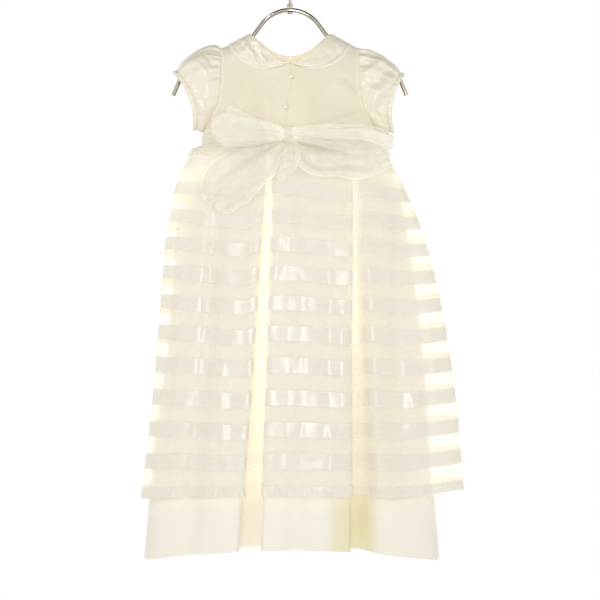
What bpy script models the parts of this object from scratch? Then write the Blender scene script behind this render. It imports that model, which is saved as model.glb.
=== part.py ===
"""A baby's christening gown on a wire display hanger.

Run it with blender --background --python part.py, or from Blender's text editor.

All the sizes below are in millimetres. The origin is where a rail carries the hook, +Z is up, and
the gown hangs below it with its front facing -Y. Every piece of cloth is a wall lofted through
sections: a grid of outer points, and the same grid moved in by the wall's thickness.
"""

import math

import bmesh
import bpy
import numpy as np
from mathutils import Vector

MM = 0.001

# ---- cloth ---------------------------------------------------------------------------------
WALL = 1.3  # one layer of satin or organza with its turnings
BOUND_WALL = 1.8  # the collar and the cuff bindings, which are doubled cloth
SEAM_GAP = 0.3  # between two pieces that are sewn together
LAID_GAP = 0.4  # between a panel and what lies on it

# ---- bodice --------------------------------------------------------------------------------
WAIST_Z = -268.0
CHEST_HALF_WIDTH = 121.5  # from the underarm up, where the armhole cuts it away
CHEST_DEPTH = 28.0  # from the side seam's plane to the middle of the front or back
SHOULDER_ROUND = 75.0  # how far below the shoulder the chest reaches its full depth
NECK_HALF_WIDTH = 56.5
SHOULDER_HALF_WIDTH = 98.0
NECK_FRONT_Z = -154.5
NECK_BACK_Z = -145.5
UNDERARM_Z = -246.5
UNDERARM_ROW = 2  # the row of the bodice's grid where the armhole begins

# The shoulder seam, carried on across the neck, where it only sets how deep the bodice is.
SHOULDER_LINE = (
    # x, height
    (0.0, -112.0),
    (50.0, -112.0),
    (58.0, -114.0),
    (70.0, -120.5),
    (86.0, -128.8),
    (98.0, -133.5),
)
# The neckline, as shares of the way out to the neck point and up to it.
NECKLINE = (
    # out, up
    (0.00, 0.00),
    (0.25, 0.08),
    (0.45, 0.26),
    (0.62, 0.49),
    (0.76, 0.71),
    (0.88, 0.87),
    (1.00, 1.00),
)
# Half-width of the bodice up its side seam and armhole.
BODICE_SIDE = (
    # height, half-width
    (-268.0, 122.5),
    (-257.0, 122.0),
    (-246.5, 121.5),
    (-240.0, 117.5),
    (-230.0, 110.5),
    (-217.0, 103.5),
    (-200.0, 98.5),
    (-177.0, 96.0),
    (-155.0, 96.0),
    (-133.5, 98.0),
)
# The front opening wanders a little to each side of the middle.
OPENING_LINE = (
    # height, x
    (-268.0, -1.0),
    (-240.0, -4.5),
    (-217.5, -6.0),
    (-195.0, -1.0),
    (-175.0, 1.5),
    (-154.5, 0.0),
)
BODICE_ROWS = (0, 0.08, 0.16, 0.28, 0.42, 0.57, 0.71, 0.83, 0.905, 0.955, 0.982, 0.994, 1)
NECK_COLUMN = NECK_HALF_WIDTH / SHOULDER_HALF_WIDTH
BODICE_COLUMNS = (0, 0.15, 0.3, 0.42, 0.51, NECK_COLUMN, 0.68, 0.81, 0.91, 0.97, 1)

# ---- sleeves -------------------------------------------------------------------------------
SLEEVES = {
    # x and z of the cuff's highest and lowest points, and the puff at the top of the sleeve head
    "left": dict(top=(-158.0, -163.0), foot=(-129.5, -246.0), cap=9.0),
    "right": dict(top=(155.0, -166.0), foot=(139.5, -250.0), cap=4.0),
}
CUFF_HALF_DEPTH = 19.0
CUFF_BOW = 10.0  # how far the cuff's front and back edges curve towards the body
CUFF_BAND = 7.0
SLEEVE_PUFF = 5.0
SLEEVE_COLUMNS = 32
SLEEVE_ROWS = 6
SLEEVE_GATHER = 1.0

# ---- collar --------------------------------------------------------------------------------
# The outer edge of one half of the collar. Share 0 is at the front opening, 1 on the shoulder
# seam and 2 at the middle of the back.
COLLAR_EDGE = (
    # share, x, height
    (0.00, 1.5, -157.0),
    (0.14, 9.5, -160.5),
    (0.30, 22.0, -164.0),
    (0.42, 33.0, -165.5),
    (0.56, 46.5, -164.5),
    (0.68, 57.5, -160.5),
    (0.78, 66.5, -155.0),
    (0.87, 74.5, -147.5),
    (0.94, 80.5, -139.0),
    (1.00, 85.0, -128.3),
    (1.10, 83.5, -141.5),
    (1.25, 76.0, -156.0),
    (1.40, 63.0, -166.5),
    (1.60, 42.0, -174.0),
    (1.80, 20.0, -177.0),
    (2.00, 0.0, -177.5),
)
COLLAR_SHARES = (0, 0.08, 0.18, 0.3, 0.44, 0.58, 0.71, 0.82, 0.9, 0.95, 0.98, 0.994, 1)
COLLAR_ROWS = (0, 0.3, 0.65, 1)
COLLAR_CLEAR = 0.9  # between the collar and the bodice

# ---- skirts --------------------------------------------------------------------------------
OVERSKIRT_LEVELS = (
    # height, centre x, half-width, depth in front, depth behind
    (-268.3, 0.0, 122.5, 28.6, 28.6),
    (-273.0, -1.0, 130.0, 33.0, 32.0),
    (-280.0, -1.0, 137.5, 37.0, 35.0),
    (-290.0, -1.5, 142.5, 40.0, 37.5),
    (-300.0, -2.0, 148.5, 42.0, 39.0),
    (-322.0, -1.0, 157.5, 45.0, 42.0),
    (-350.0, 1.0, 167.0, 48.0, 45.0),
    (-400.0, 9.5, 182.5, 53.0, 50.0),
    (-479.0, 14.5, 195.0, 58.0, 55.0),
    (-569.0, 20.0, 206.0, 62.0, 59.0),
    (-660.0, 20.0, 216.5, 66.0, 63.0),
    (-762.0, 17.5, 226.0, 70.0, 66.0),
)
UNDERSKIRT_LEVELS = (
    # height, centre x, half-width, depth in front, depth behind
    (-268.3, 0.0, 120.0, 26.2, 26.2),
    (-285.0, 0.0, 132.0, 30.0, 29.0),
    (-300.0, 0.0, 138.5, 32.5, 31.0),
    (-345.0, 3.0, 154.0, 37.5, 36.0),
    (-400.0, 5.0, 163.0, 43.0, 41.0),
    (-479.0, 7.5, 171.0, 49.0, 46.0),
    (-569.0, 8.0, 180.0, 54.0, 51.0),
    (-660.0, 4.5, 190.0, 58.0, 55.0),
    (-762.0, 2.5, 198.0, 62.0, 59.0),
    (-846.0, 2.5, 206.5, 66.0, 62.0),
)
# Folds that run from the waist to the hem. The kinds are in FOLD_PROFILES.
SKIRT_FOLDS = (
    # side, kind, x at the waist, x at the hem, half-width at the hem, depth at the hem
    ("front", "soft", -86.0, -142.0, 30.0, 10.0),
    ("front", "box", -26.0, -55.0, 19.5, 44.0),
    ("front", "soft", 10.0, 10.0, 26.0, 6.0),
    ("front", "ramp", 88.0, 101.0, 22.0, 40.0),
    ("back", "soft", 90.0, 148.0, 28.0, 10.0),
    ("back", "box", 40.0, 70.0, 20.0, 32.0),
    ("back", "soft", 4.0, 8.0, 26.0, 7.0),
    ("back", "box", -36.0, -58.0, 20.0, 34.0),
    ("back", "soft", -92.0, -146.0, 28.0, 10.0),
)
# The sections across the folds. A place is a share of the fold's half-width, first where the fold
# begins and then at the hem, where the lips of a box close over it. A sink is a share of its depth.
FOLD_PROFILES = {
    "box": (
        (-1.18, -1.18, 0.00),
        (-0.97, -0.88, 0.02),
        (-0.83, -0.79, 0.13),
        (-0.69, -0.84, 0.45),
        (-0.56, -0.94, 0.86),
        (-0.44, -0.88, 0.99),
        (-0.14, -0.35, 1.00),
        (0.14, 0.35, 1.00),
        (0.44, 0.88, 0.99),
        (0.56, 0.94, 0.86),
        (0.69, 0.84, 0.45),
        (0.83, 0.79, 0.13),
        (0.97, 0.88, 0.02),
        (1.18, 1.18, 0.00),
    ),
    "ramp": (
        (-2.00, -2.00, 0.00),
        (-1.25, -1.20, 0.07),
        (-0.97, -0.88, 0.11),
        (-0.83, -0.79, 0.23),
        (-0.69, -0.84, 0.50),
        (-0.56, -0.94, 0.88),
        (-0.44, -0.86, 0.99),
        (-0.10, -0.25, 1.00),
        (0.25, 0.20, 0.88),
        (0.62, 0.65, 0.52),
        (1.00, 1.05, 0.20),
        (1.45, 1.50, 0.03),
    ),
    "soft": (
        (-1.00, -1.00, 0.03),
        (-0.62, -0.62, 0.32),
        (-0.28, -0.28, 0.84),
        (0.00, 0.00, 1.00),
        (0.28, 0.28, 0.84),
        (0.62, 0.62, 0.32),
        (1.00, 1.00, 0.03),
    ),
}
FOLD_DEEPENING = 0.9  # the power with which the folds deepen from the waist to the hem
FOLD_START = 0.5  # a fold's width at the waist, as a share of its width at the hem
HEM_SQUARENESS = 0.22  # how much fuller than an ellipse the skirts are at the hem
SKIRTS = {
    # The pitch is between two columns of points at the hem, away from the folds. The fold ease is how
    # much narrower the folds are at each lip. The gather is the depth of the small waist gathers.
    # The hem rises by middle_rise in the middle of the front and back, and by side_lift at the right.
    "overskirt": dict(
        levels=OVERSKIRT_LEVELS,
        rows=(-268.3, -272.0, -278.0, -290.0, -316.0, -380.0, -490.0, -620.0, -762.0),
        pitch=11.0,
        fold_ease=3.4,
        gather=2.2,
        middle_rise=10.0,
        side_lift=14.0,
    ),
    "underskirt": dict(
        levels=UNDERSKIRT_LEVELS,
        rows=(-268.3, -290.0, -345.0, -440.0, -560.0, -700.0, -846.0),
        pitch=25.0,
        fold_ease=0.0,
        gather=0.0,
        middle_rise=20.0,
        side_lift=0.0,
    ),
}
SIDE_LIFT_START = 150.0  # x from which the hem's lift grows towards the right side seam
GATHER_LENGTH = 40.0
GATHER_RISE = 3.0  # the gathers reach their depth this far below the waist seam

# ---- sash and bow --------------------------------------------------------------------------
SASH_CLEAR = 3.6  # from the middle of the gathers under it
SASH_ROWS = (
    # height, clear of the cloth under it
    (-284.0, SASH_CLEAR),
    (-278.0, SASH_CLEAR),
    (-272.5, SASH_CLEAR),
    (-267.0, 2.2),
    (-259.0, 1.0),
    (-252.0, 0.8),
)
SASH_COLUMNS = 48
KNOT = (-2.0, -44.7, -256.0)
KNOT_SIZE = (13.0, 12.5, 17.0)
KNOT_SQUARENESS = 0.75  # below 1 is squarer than an egg
LOOPS = {
    # reach of the loop, height and half-width of its far end, how much that end is rounded, half its
    # thickness, y of its middle, and how much higher the run behind is
    "bow_loop_left": dict(reach=-104, end_z=-249, half_width=27, round=20, depth=12, mid_y=-54, lift=8),
    "bow_loop_right": dict(reach=142, end_z=-270, half_width=19, round=13, depth=11, mid_y=-59, lift=3),
}
LOOP_NECK = 7.5  # half-width where a loop enters the knot
LOOP_PARTING = 1.9  # of its two runs there
LOOP_CLEAR = 0.8  # between a loop and the knot
LOOP_BELLY = 3.0  # how far the ribbon bulges across its width
LOOP_RUNS = 21
LOOP_RIBS = (-1.0, -0.82, -0.35, 0.35, 0.82, 1.0)  # rows of points across the ribbon
TAIL_SPREAD = 0.3  # keeps a tail from following the skirt right round to its side
TAIL_STEPS = 15
TAIL_RIBS = 7
TAIL_RIPPLE = 2.2  # height of the waves across a tail
TAIL_WAVES = 2.6
TAIL_OPEN = 25.0  # the half-width from which a tail has its whole waves
TAILS = {
    # rows of: x, height, half-width, clear of the skirt
    "bow_tail_left": (
        (-14.0, -275.0, 6.5, 1.3),
        (-21.0, -282.0, 11.0, 2.5),
        (-34.0, -294.0, 19.0, 3.6),
        (-55.0, -313.0, 26.0, 4.0),
        (-76.0, -336.0, 29.0, 5.0),
        (-90.0, -358.0, 26.0, 5.0),
        (-97.0, -370.0, 17.0, 5.0),
    ),
    "bow_tail_right": (
        (14.5, -264.0, 7.0, 1.3),
        (25.0, -267.0, 12.0, 2.5),
        (44.0, -275.0, 20.0, 3.6),
        (72.0, -281.0, 26.0, 5.0),
        (104.0, -282.0, 27.0, 12.0),
        (136.0, -280.0, 25.0, 19.0),
    ),
}

# ---- buttons -------------------------------------------------------------------------------
BUTTON_RADIUS = 3.6
BUTTON_HALF_THICK = 2.0
BUTTON_HEIGHTS = {"button_upper": -175.5, "button_lower": -217.5}

# ---- hanger --------------------------------------------------------------------------------
TUBE_RADIUS = 3.0
# Corners of the left half of the bent tube, each with the radius of its bend.
TUBE_CORNERS = (
    # x, z, radius
    (-163.5, -199.0, 0.0),
    (-152.0, -171.5, 12.0),
    (-56.3, -121.5, 18.0),
    (0.0, -46.5, 49.0),
)
NUT_RADIUS = 4.3
NUT_HEIGHT = 5.0
RIVET_RADIUS = 4.0
RIVET_HEIGHT = 2.6
RIVET_GAP = 0.5  # at its middle, where the arch curves away from it
NUT_BEVEL = 0.6
HOOK_WIRE_RADIUS = 2.0
HOOK_BEND = 19.0  # radius of the hook's centre line
HOOK_TIP_ANGLE = 205.0
HOOK_ROOT_ANGLE = -38.0
HOOK_STEM_DROP = 12.0  # from the bottom of the hook's circle to where the stem starts to bend
HOOK_EASE = 10.0  # how softly the stem runs into the hook


# ============================================================================================
# Helpers
# ============================================================================================


def clear_scene():
    for obj in list(bpy.data.objects):
        bpy.data.objects.remove(obj)


def srgb(code):
    """A hex colour as linear RGBA."""
    parts = [int(code[i : i + 2], 16) / 255 for i in (0, 2, 4)]
    return [c / 12.92 if c <= 0.04045 else ((c + 0.055) / 1.055) ** 2.4 for c in parts] + [1.0]


def material(name, code, roughness, metallic=0.0, alpha=1.0):
    made = bpy.data.materials.new(name)
    made.use_nodes = True
    shader = made.node_tree.nodes["Principled BSDF"]
    shader.inputs["Base Color"].default_value = srgb(code)
    shader.inputs["Roughness"].default_value = roughness
    shader.inputs["Metallic"].default_value = metallic
    shader.inputs["Alpha"].default_value = alpha
    return made


def smooth_at(table, key, column):
    """A column of a table read at key, along a smooth curve through the rows (first column ascending or
    descending)."""
    xs = np.array([row[0] for row in table], float)
    ys = np.array([row[column] for row in table], float)
    if xs[0] > xs[-1]:
        xs, ys = xs[::-1], ys[::-1]
    key = np.clip(np.asarray(key, float), xs[0], xs[-1])
    steps = np.diff(ys) / np.diff(xs)
    slopes = np.concatenate([steps[:1], (steps[:-1] + steps[1:]) / 2, steps[-1:]])
    flat = np.concatenate([[False], steps[:-1] * steps[1:] <= 0, [False]])
    slopes[flat] = 0.0
    i = np.clip(np.searchsorted(xs, key) - 1, 0, len(xs) - 2)
    span = xs[i + 1] - xs[i]
    t = (key - xs[i]) / span
    return (
        (2 * t**3 - 3 * t**2 + 1) * ys[i]
        + (t**3 - 2 * t**2 + t) * span * slopes[i]
        + (3 * t**2 - 2 * t**3) * ys[i + 1]
        + (t**3 - t**2) * span * slopes[i + 1]
    )


def unit(vectors):
    return vectors / np.maximum(np.linalg.norm(vectors, axis=-1, keepdims=True), 1e-9)


def grid_normals(grid, wrap=False):
    """Outward unit normals of a grid whose rows rise or fall and whose columns run so that
    column direction x row direction points outwards."""
    if wrap:
        padded = np.concatenate([grid[:, -1:], grid, grid[:, :1]], axis=1)
        across = padded[:, 2:] - padded[:, :-2]
    else:
        across = np.gradient(grid, axis=1)
    along = np.gradient(grid, axis=0)
    return unit(np.cross(across, along))


def inner_points(grid, wall, wrap=False, flatten=()):
    """The grid moved in by the wall. flatten lists (row slice, column slice, axis): there the move has
    no part along that axis, so that the wall ends square to its seam."""
    normals = grid_normals(grid, wrap)
    for rows, columns, axis in flatten:
        normals[rows, columns, axis] = 0.0
    return grid - unit(normals) * wall


def wall_mesh(name, outer, inner, skin, wrap=False):
    """A closed wall between two grids of points in millimetres, as one object."""
    rows, columns = outer.shape[:2]
    points = np.concatenate([outer.reshape(-1, 3), inner.reshape(-1, 3)]) * MM
    half = rows * columns
    last = columns if wrap else columns - 1
    faces = []
    for r in range(rows - 1):
        for c in range(last):
            d = (c + 1) % columns
            a, b = r * columns + c, r * columns + d
            e, f = a + columns, b + columns
            for corners in ((a, b, f), (a, f, e)):
                faces.append(corners)
                faces.append([half + v for v in reversed(corners)])
    for c in range(last):
        d = (c + 1) % columns
        top = (rows - 1) * columns
        faces.append([d, c, half + c, half + d])
        faces.append([top + c, top + d, half + top + d, half + top + c])
    if not wrap:
        for r in range(rows - 1):
            a, b = r * columns, (r + 1) * columns
            faces.append([a, b, half + b, half + a])
            a, b = a + columns - 1, b + columns - 1
            faces.append([b, a, half + a, half + b])
    mesh = bpy.data.meshes.new(name)
    mesh.from_pydata([tuple(p) for p in points], [], faces)
    mesh.validate()
    mesh.shade_smooth()
    mesh.set_sharp_from_angle(angle=math.radians(50))
    return add_object(name, mesh, skin)


def add_object(name, data, skin):
    obj = bpy.data.objects.new(name, data)
    bpy.data.collections["christening gown"].objects.link(obj)
    data.materials.append(skin)
    return obj


def tube(name, line, radius, skin, sides=2):
    """A round bar along a line of points, as a curve with filled caps."""
    curve = bpy.data.curves.new(name, "CURVE")
    curve.dimensions = "3D"
    curve.bevel_depth = radius * MM
    curve.bevel_resolution = sides
    curve.use_fill_caps = True
    spline = curve.splines.new("POLY")
    spline.points.add(len(line) - 1)
    for point, place in zip(spline.points, line):
        point.co = (*(Vector(place) * MM), 1.0)
    spline.use_smooth = True
    return add_object(name, curve, skin)


def turned(name, profile, skin, steps=20):
    """A turned piece: a profile of (radius, height) from top to bottom, round the Z axis."""
    mesh = bpy.data.meshes.new(name)
    edges = [(i, i + 1) for i in range(len(profile) - 1)]
    mesh.from_pydata([(r * MM, 0.0, z * MM) for r, z in profile], edges, [])
    obj = add_object(name, mesh, skin)
    screw = obj.modifiers.new("turn", "SCREW")
    screw.axis = "Z"
    screw.steps = screw.render_steps = steps
    screw.use_merge_vertices = True
    screw.merge_threshold = 0.00001
    return obj


# ============================================================================================
# Bodice
# ============================================================================================


def ridge_z(x):
    """Height of the shoulder seam, carried on level across the neck."""
    return smooth_at(SHOULDER_LINE, np.abs(x), 1)


def neckline_z(x, side):
    """Height of the bodice's top edge: the neckline, then the shoulder seam."""
    foot = NECK_FRONT_Z if side == "front" else NECK_BACK_Z
    share = np.minimum(np.abs(x) / NECK_HALF_WIDTH, 1.0)
    point = ridge_z(np.array(NECK_HALF_WIDTH))
    return np.where(share < 1, foot + (point - foot) * smooth_at(NECKLINE, share, 1), ridge_z(x))


def bodice_depth(x, z):
    """Distance of the outer cloth from the plane of the side seams."""
    below = np.clip((ridge_z(x) - z) / SHOULDER_ROUND, 0.0, 1.0)
    half = np.where(np.asarray(z) < UNDERARM_Z, smooth_at(BODICE_SIDE, z, 1), CHEST_HALF_WIDTH)
    across = np.clip(1 - (np.abs(x) / half) ** 2, 0.0, 1.0)
    return SEAM_GAP / 2 + CHEST_DEPTH * np.sqrt(below * (2 - below)) * np.sqrt(across)


def bodice_points(x, z, side):
    depth = bodice_depth(x, z)
    return np.stack([x, -depth if side == "front" else depth, z + 0.0 * x], axis=-1)


def bodice_normals(x, z, side, step=0.25):
    """Outward normals of the bodice, from small differences."""
    down = bodice_depth(x, z - step)
    across = (bodice_depth(x + step, z - step) - bodice_depth(x - step, z - step)) / (2 * step)
    rise = (bodice_depth(x, z - 2 * step) - down) / step
    out = -1.0 if side == "front" else 1.0
    return unit(np.stack([-across, out * np.ones_like(down), rise], axis=-1))


def bodice_grid(side, direction):
    """Outer points of one front (direction -1 or 1) or of the whole back (direction 0)."""
    shares = np.array(BODICE_COLUMNS)
    if direction == 0:
        shares = np.concatenate([-shares[:0:-1], shares])
    elif direction < 0:
        shares = -shares[::-1]
    grid = np.zeros((len(BODICE_ROWS), len(shares), 3))
    for row, up in enumerate(BODICE_ROWS):
        edge_z = WAIST_Z + up * (SHOULDER_LINE[-1][1] - WAIST_Z)
        half = smooth_at(BODICE_SIDE, edge_z, 1)
        x = shares * half
        foot = WAIST_Z + (neckline_z(shares * SHOULDER_HALF_WIDTH, side) - WAIST_Z) * up
        if direction:
            lean = smooth_at(OPENING_LINE, foot, 1) * (1 - np.abs(shares)) ** 3
            x = x + lean + np.where(shares == 0, direction * SEAM_GAP / 2, 0.0)
        grid[row] = bodice_points(x, foot, side)
    return grid if side == "front" else grid[:, ::-1]


def bodice_panel(name, side, direction, skin):
    grid = bodice_grid(side, direction)
    columns = grid.shape[1]
    whole, first, last = slice(None), slice(0, 1), slice(columns - 1, columns)
    below = slice(0, UNDERARM_ROW + 1)
    above = slice(UNDERARM_ROW + 1, None)
    flatten = [(slice(0, 1), whole, 2)]
    edges = (first, last) if direction == 0 else ((first,) if direction < 0 else (last,))
    for edge in edges:
        flatten += [(below, edge, 1), (above, edge, 0)]
    if direction:
        flatten.append((whole, last if direction < 0 else first, 0))
    shoulder = np.abs(grid[-1, :, 0]) >= NECK_HALF_WIDTH - 0.01
    flatten.append((slice(-1, None), np.flatnonzero(shoulder), 1))
    return wall_mesh(name, grid, inner_points(grid, WALL, flatten=flatten), skin)


# ============================================================================================
# Sleeves
# ============================================================================================


def armhole_ring(side):
    """Points of one armhole, from the underarm up the front, over the shoulder and down the back, on the
    bodice's own edge."""
    front = bodice_grid("front", -1 if side == "left" else 1)
    back = bodice_grid("back", 0)
    front = front[UNDERARM_ROW:, 0 if side == "left" else -1]
    back = back[UNDERARM_ROW:, -1 if side == "left" else 0]
    ring = []
    for edge in (front, back):
        steps = np.linalg.norm(np.diff(edge, axis=0), axis=1)
        along = np.concatenate([[0], np.cumsum(steps)])
        marks = np.linspace(0, along[-1], SLEEVE_COLUMNS // 2 + 1)
        ring.append(np.stack([np.interp(marks, along, edge[:, axis]) for axis in range(3)], axis=-1))
    return np.concatenate([ring[0][:-1], ring[1][:0:-1]])


def cuff_ring(side):
    """Points of one cuff's upper edge, in the same order as the armhole's."""
    angle = 2 * np.pi * np.arange(SLEEVE_COLUMNS) / SLEEVE_COLUMNS
    up = (1 - np.cos(angle)) / 2
    (top_x, top_z), (foot_x, foot_z) = SLEEVES[side]["top"], SLEEVES[side]["foot"]
    way = 1.0 if side == "left" else -1.0
    x = foot_x + (top_x - foot_x) * up + way * CUFF_BOW * np.sin(angle) ** 2
    y = -CUFF_HALF_DEPTH * np.sin(angle)
    z = foot_z + (top_z - foot_z) * up
    return np.stack([x, y, z], axis=-1)


def sleeve_grid(side):
    way = -1.0 if side == "left" else 1.0
    start = armhole_ring(side) + np.array([way * LAID_GAP, 0.0, 0.0])
    end = cuff_ring(side)
    angle = 2 * np.pi * np.arange(SLEEVE_COLUMNS) / SLEEVE_COLUMNS
    top = np.clip((1 - np.cos(angle)) / 2, 0, 1) ** 2
    outward = np.stack([np.zeros_like(angle), -np.sin(angle), -np.cos(angle)], axis=-1)
    gather = np.where(np.arange(SLEEVE_COLUMNS) % 2 == 0, 1.0, -1.0)
    grid = np.zeros((SLEEVE_ROWS, SLEEVE_COLUMNS, 3))
    for row in range(SLEEVE_ROWS):
        v = row / (SLEEVE_ROWS - 1)
        puff = (SLEEVE_PUFF + SLEEVES[side]["cap"] * top) * math.sin(math.pi * v) ** 0.7
        ripple = SLEEVE_GATHER * gather * (top * (1 - v) ** 2 + v**3) * (0 < v < 1)
        grid[row] = start + (end - start) * v + outward * (puff + ripple)[:, None]
    return grid if side == "left" else grid[:, ::-1]


def sleeves(satin, binding):
    for side in SLEEVES:
        grid = sleeve_grid(side)
        inner = inner_points(grid, WALL, wrap=True, flatten=[(slice(0, 1), slice(None), 0)])
        wall_mesh(f"sleeve_{side}", grid, inner, satin, wrap=True)
        away = unit((grid[-1] - grid[0]).mean(axis=0) * np.array([1.0, 0.0, 1.0]))
        band = np.stack([grid[-1] + away * SEAM_GAP, grid[-1] + away * (SEAM_GAP + CUFF_BAND)])
        wall_mesh(f"cuff_{side}", band, inner_points(band, BOUND_WALL, wrap=True), binding, wrap=True)


# ============================================================================================
# Collar
# ============================================================================================


def collar_place(share, across):
    """x and z of a point of one half of the collar, and the side of the bodice that it lies on."""
    side = "front" if share <= 1 else "back"
    neck_x = NECK_HALF_WIDTH * (share if share <= 1 else 2 - share)
    neck_z = float(neckline_z(np.array(neck_x), side))
    edge_x = float(smooth_at(COLLAR_EDGE, share, 1))
    edge_z = float(smooth_at(COLLAR_EDGE, share, 2))
    x, z = neck_x + (edge_x - neck_x) * across, neck_z + (edge_z - neck_z) * across
    return max(x, SEAM_GAP / 2 if share <= 1 else 0.0), z, side


def collar(skin):
    half_front = list(COLLAR_SHARES)
    shares = half_front + [2 - s for s in half_front[-2::-1]]
    outer = np.zeros((len(COLLAR_ROWS), len(shares), 3))
    inner = outer.copy()
    for r, across in enumerate(COLLAR_ROWS):
        for c, share in enumerate(shares):
            x, z, side = collar_place(share, across)
            place = bodice_points(np.array(-x), np.array(z), side)
            out = bodice_normals(np.array(-x), np.array(z), side)
            if share in (0, 2):
                out = unit(out * np.array([0.0, 1.0, 1.0]))
            if share == 1:
                out = unit(out * np.array([1.0, 0.0, 1.0]))
            inner[r, c] = place + out * COLLAR_CLEAR
            outer[r, c] = place + out * (COLLAR_CLEAR + BOUND_WALL)
    outer = np.concatenate([outer, (outer * np.array([-1.0, 1.0, 1.0]))[:, -2::-1]], axis=1)
    inner = np.concatenate([inner, (inner * np.array([-1.0, 1.0, 1.0]))[:, -2::-1]], axis=1)
    return wall_mesh("collar", outer, inner, skin)


# ============================================================================================
# Skirts
# ============================================================================================


def fold_growth(z):
    """0 at the waist to 1 at the underskirt's hem."""
    foot = UNDERSKIRT_LEVELS[-1][0]
    return np.clip((z - WAIST_Z) / (foot - WAIST_Z), 0.0, 1.0)


def base_section(levels, side, z, fine=1200):
    """A closely spaced section of one skirt panel without its folds, from its left side seam to its right
    one: the points, the way inwards at each and their distances along the section."""
    t = np.linspace(0, 1, fine)
    centre, half = float(smooth_at(levels, z, 1)), float(smooth_at(levels, z, 2))
    depth = float(smooth_at(levels, z, 3 if side == "front" else 4))
    out = -1.0 if side == "front" else 1.0
    boxy = 1.0 - HEM_SQUARENESS * float(fold_growth(z))
    x = centre - half * np.cos(np.pi * t)
    y = out * (SEAM_GAP / 2 + depth * np.sin(np.pi * t) ** boxy)
    along = np.concatenate([[0], np.cumsum(np.hypot(np.diff(x), np.diff(y)))])
    tangent = unit(np.stack([np.gradient(x), np.gradient(y)], axis=-1))
    inward = np.stack([out * tangent[:, 1], -out * tangent[:, 0]], axis=-1)
    return np.stack([x, y], axis=-1), inward, along


def fold_columns(side, skirt, z):
    """Where each fold's columns of points are along the section at height z, and how deep they sink."""
    line, _, along = base_section(skirt["levels"], side, z)
    growth = float(fold_growth(z))
    places, sinks = [], []
    folds = sorted((fold for fold in SKIRT_FOLDS if fold[0] == side), key=lambda fold: fold[3])
    for _, kind, waist_x, hem_x, half_width, depth in folds:
        middle = float(np.interp(waist_x + (hem_x - waist_x) * growth, line[:, 0], along))
        half = half_width * (FOLD_START + (1 - FOLD_START) * growth)
        if kind != "soft":
            half -= skirt["fold_ease"]
        for start, end, sink in FOLD_PROFILES[kind]:
            places.append(middle + half * (start + (end - start) * growth))
            sinks.append(sink * depth * growth**FOLD_DEEPENING)
    return places, sinks, along[-1]


def column_plan(side, skirt):
    """How many plain columns go before, between and after the folds."""
    places, _, length = fold_columns(side, skirt, skirt["rows"][-1])
    pitch = skirt["pitch"]
    kinds = [fold[1] for fold in sorted((f for f in SKIRT_FOLDS if f[0] == side), key=lambda f: f[3])]
    first = np.cumsum([0] + [len(FOLD_PROFILES[kind]) for kind in kinds])
    starts = [0.0] + [places[i - 1] for i in first[1:]]
    ends = [places[i] for i in first[:-1]] + [length]
    return first, [max(0, round((end - start) / pitch) - 1) for start, end in zip(starts, ends)]


def hem_rise(x, z, skirt):
    """How much a point of the skirt is lifted, more and more towards the hem."""
    foot, _, half = skirt["levels"][-1][:3]
    share = np.clip((WAIST_Z - z) / (WAIST_Z - foot), 0.0, 1.0)
    middle = skirt["middle_rise"] * np.clip(1 - (x / half) ** 2, 0.0, 1.0)
    corner = skirt["side_lift"] * np.clip((x - SIDE_LIFT_START) / (half - SIDE_LIFT_START), 0.0, 1.0)
    return (middle + corner) * share**3


def skirt_grid(side, skirt):
    first, plain = column_plan(side, skirt)
    out = -1.0 if side == "front" else 1.0
    grid = []
    for z in skirt["rows"]:
        line, inward, along = base_section(skirt["levels"], side, z)
        places, sinks, length = fold_columns(side, skirt, z)
        marks, depths, ruffled = [0.0], [0.0], [0.0]
        stops = [0.0] + [places[i] for i in first[:-1]] + [length]
        for k, count in enumerate(plain):
            begin, end = marks[-1], stops[k + 1]
            for i in range(count):
                marks.append(begin + (end - begin) * (i + 1) / (count + 1))
                depths.append(0.0)
                ruffled.append(-1.0 if i % 2 else 1.0)
            if k < len(plain) - 1:
                marks += places[first[k] : first[k + 1]]
                depths += sinks[first[k] : first[k + 1]]
                ruffled += [0.0] * (first[k + 1] - first[k])
        marks = np.array(marks + [length])
        depths = np.array(depths + [0.0])
        ruffled = np.array(ruffled + [0.0])
        fade = math.exp(-(WAIST_Z - z) / GATHER_LENGTH) * min(1.0, (WAIST_Z - z) / GATHER_RISE)
        x, y = (
            np.interp(marks, along, line[:, axis]) + np.interp(marks, along, inward[:, axis]) * depths
            for axis in (0, 1)
        )
        y = y + out * skirt["gather"] * fade * ruffled * np.sin(np.pi * marks / length)
        grid.append(np.stack([x, y, z + hem_rise(x, z, skirt)], axis=-1))
    grid = np.array(grid[::-1])
    return grid if side == "front" else grid[:, ::-1]


def skirt_panel(kind, side, skin):
    grid = skirt_grid(side, SKIRTS[kind])
    whole = slice(None)
    flatten = [
        (slice(0, 1), whole, 2),
        (slice(-1, None), whole, 2),
        (whole, slice(0, 1), 1),
        (whole, slice(-1, None), 1),
    ]
    return wall_mesh(f"{kind}_{side}", grid, inner_points(grid, WALL, flatten=flatten), skin)


# ============================================================================================
# Sash and bow
# ============================================================================================


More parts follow.
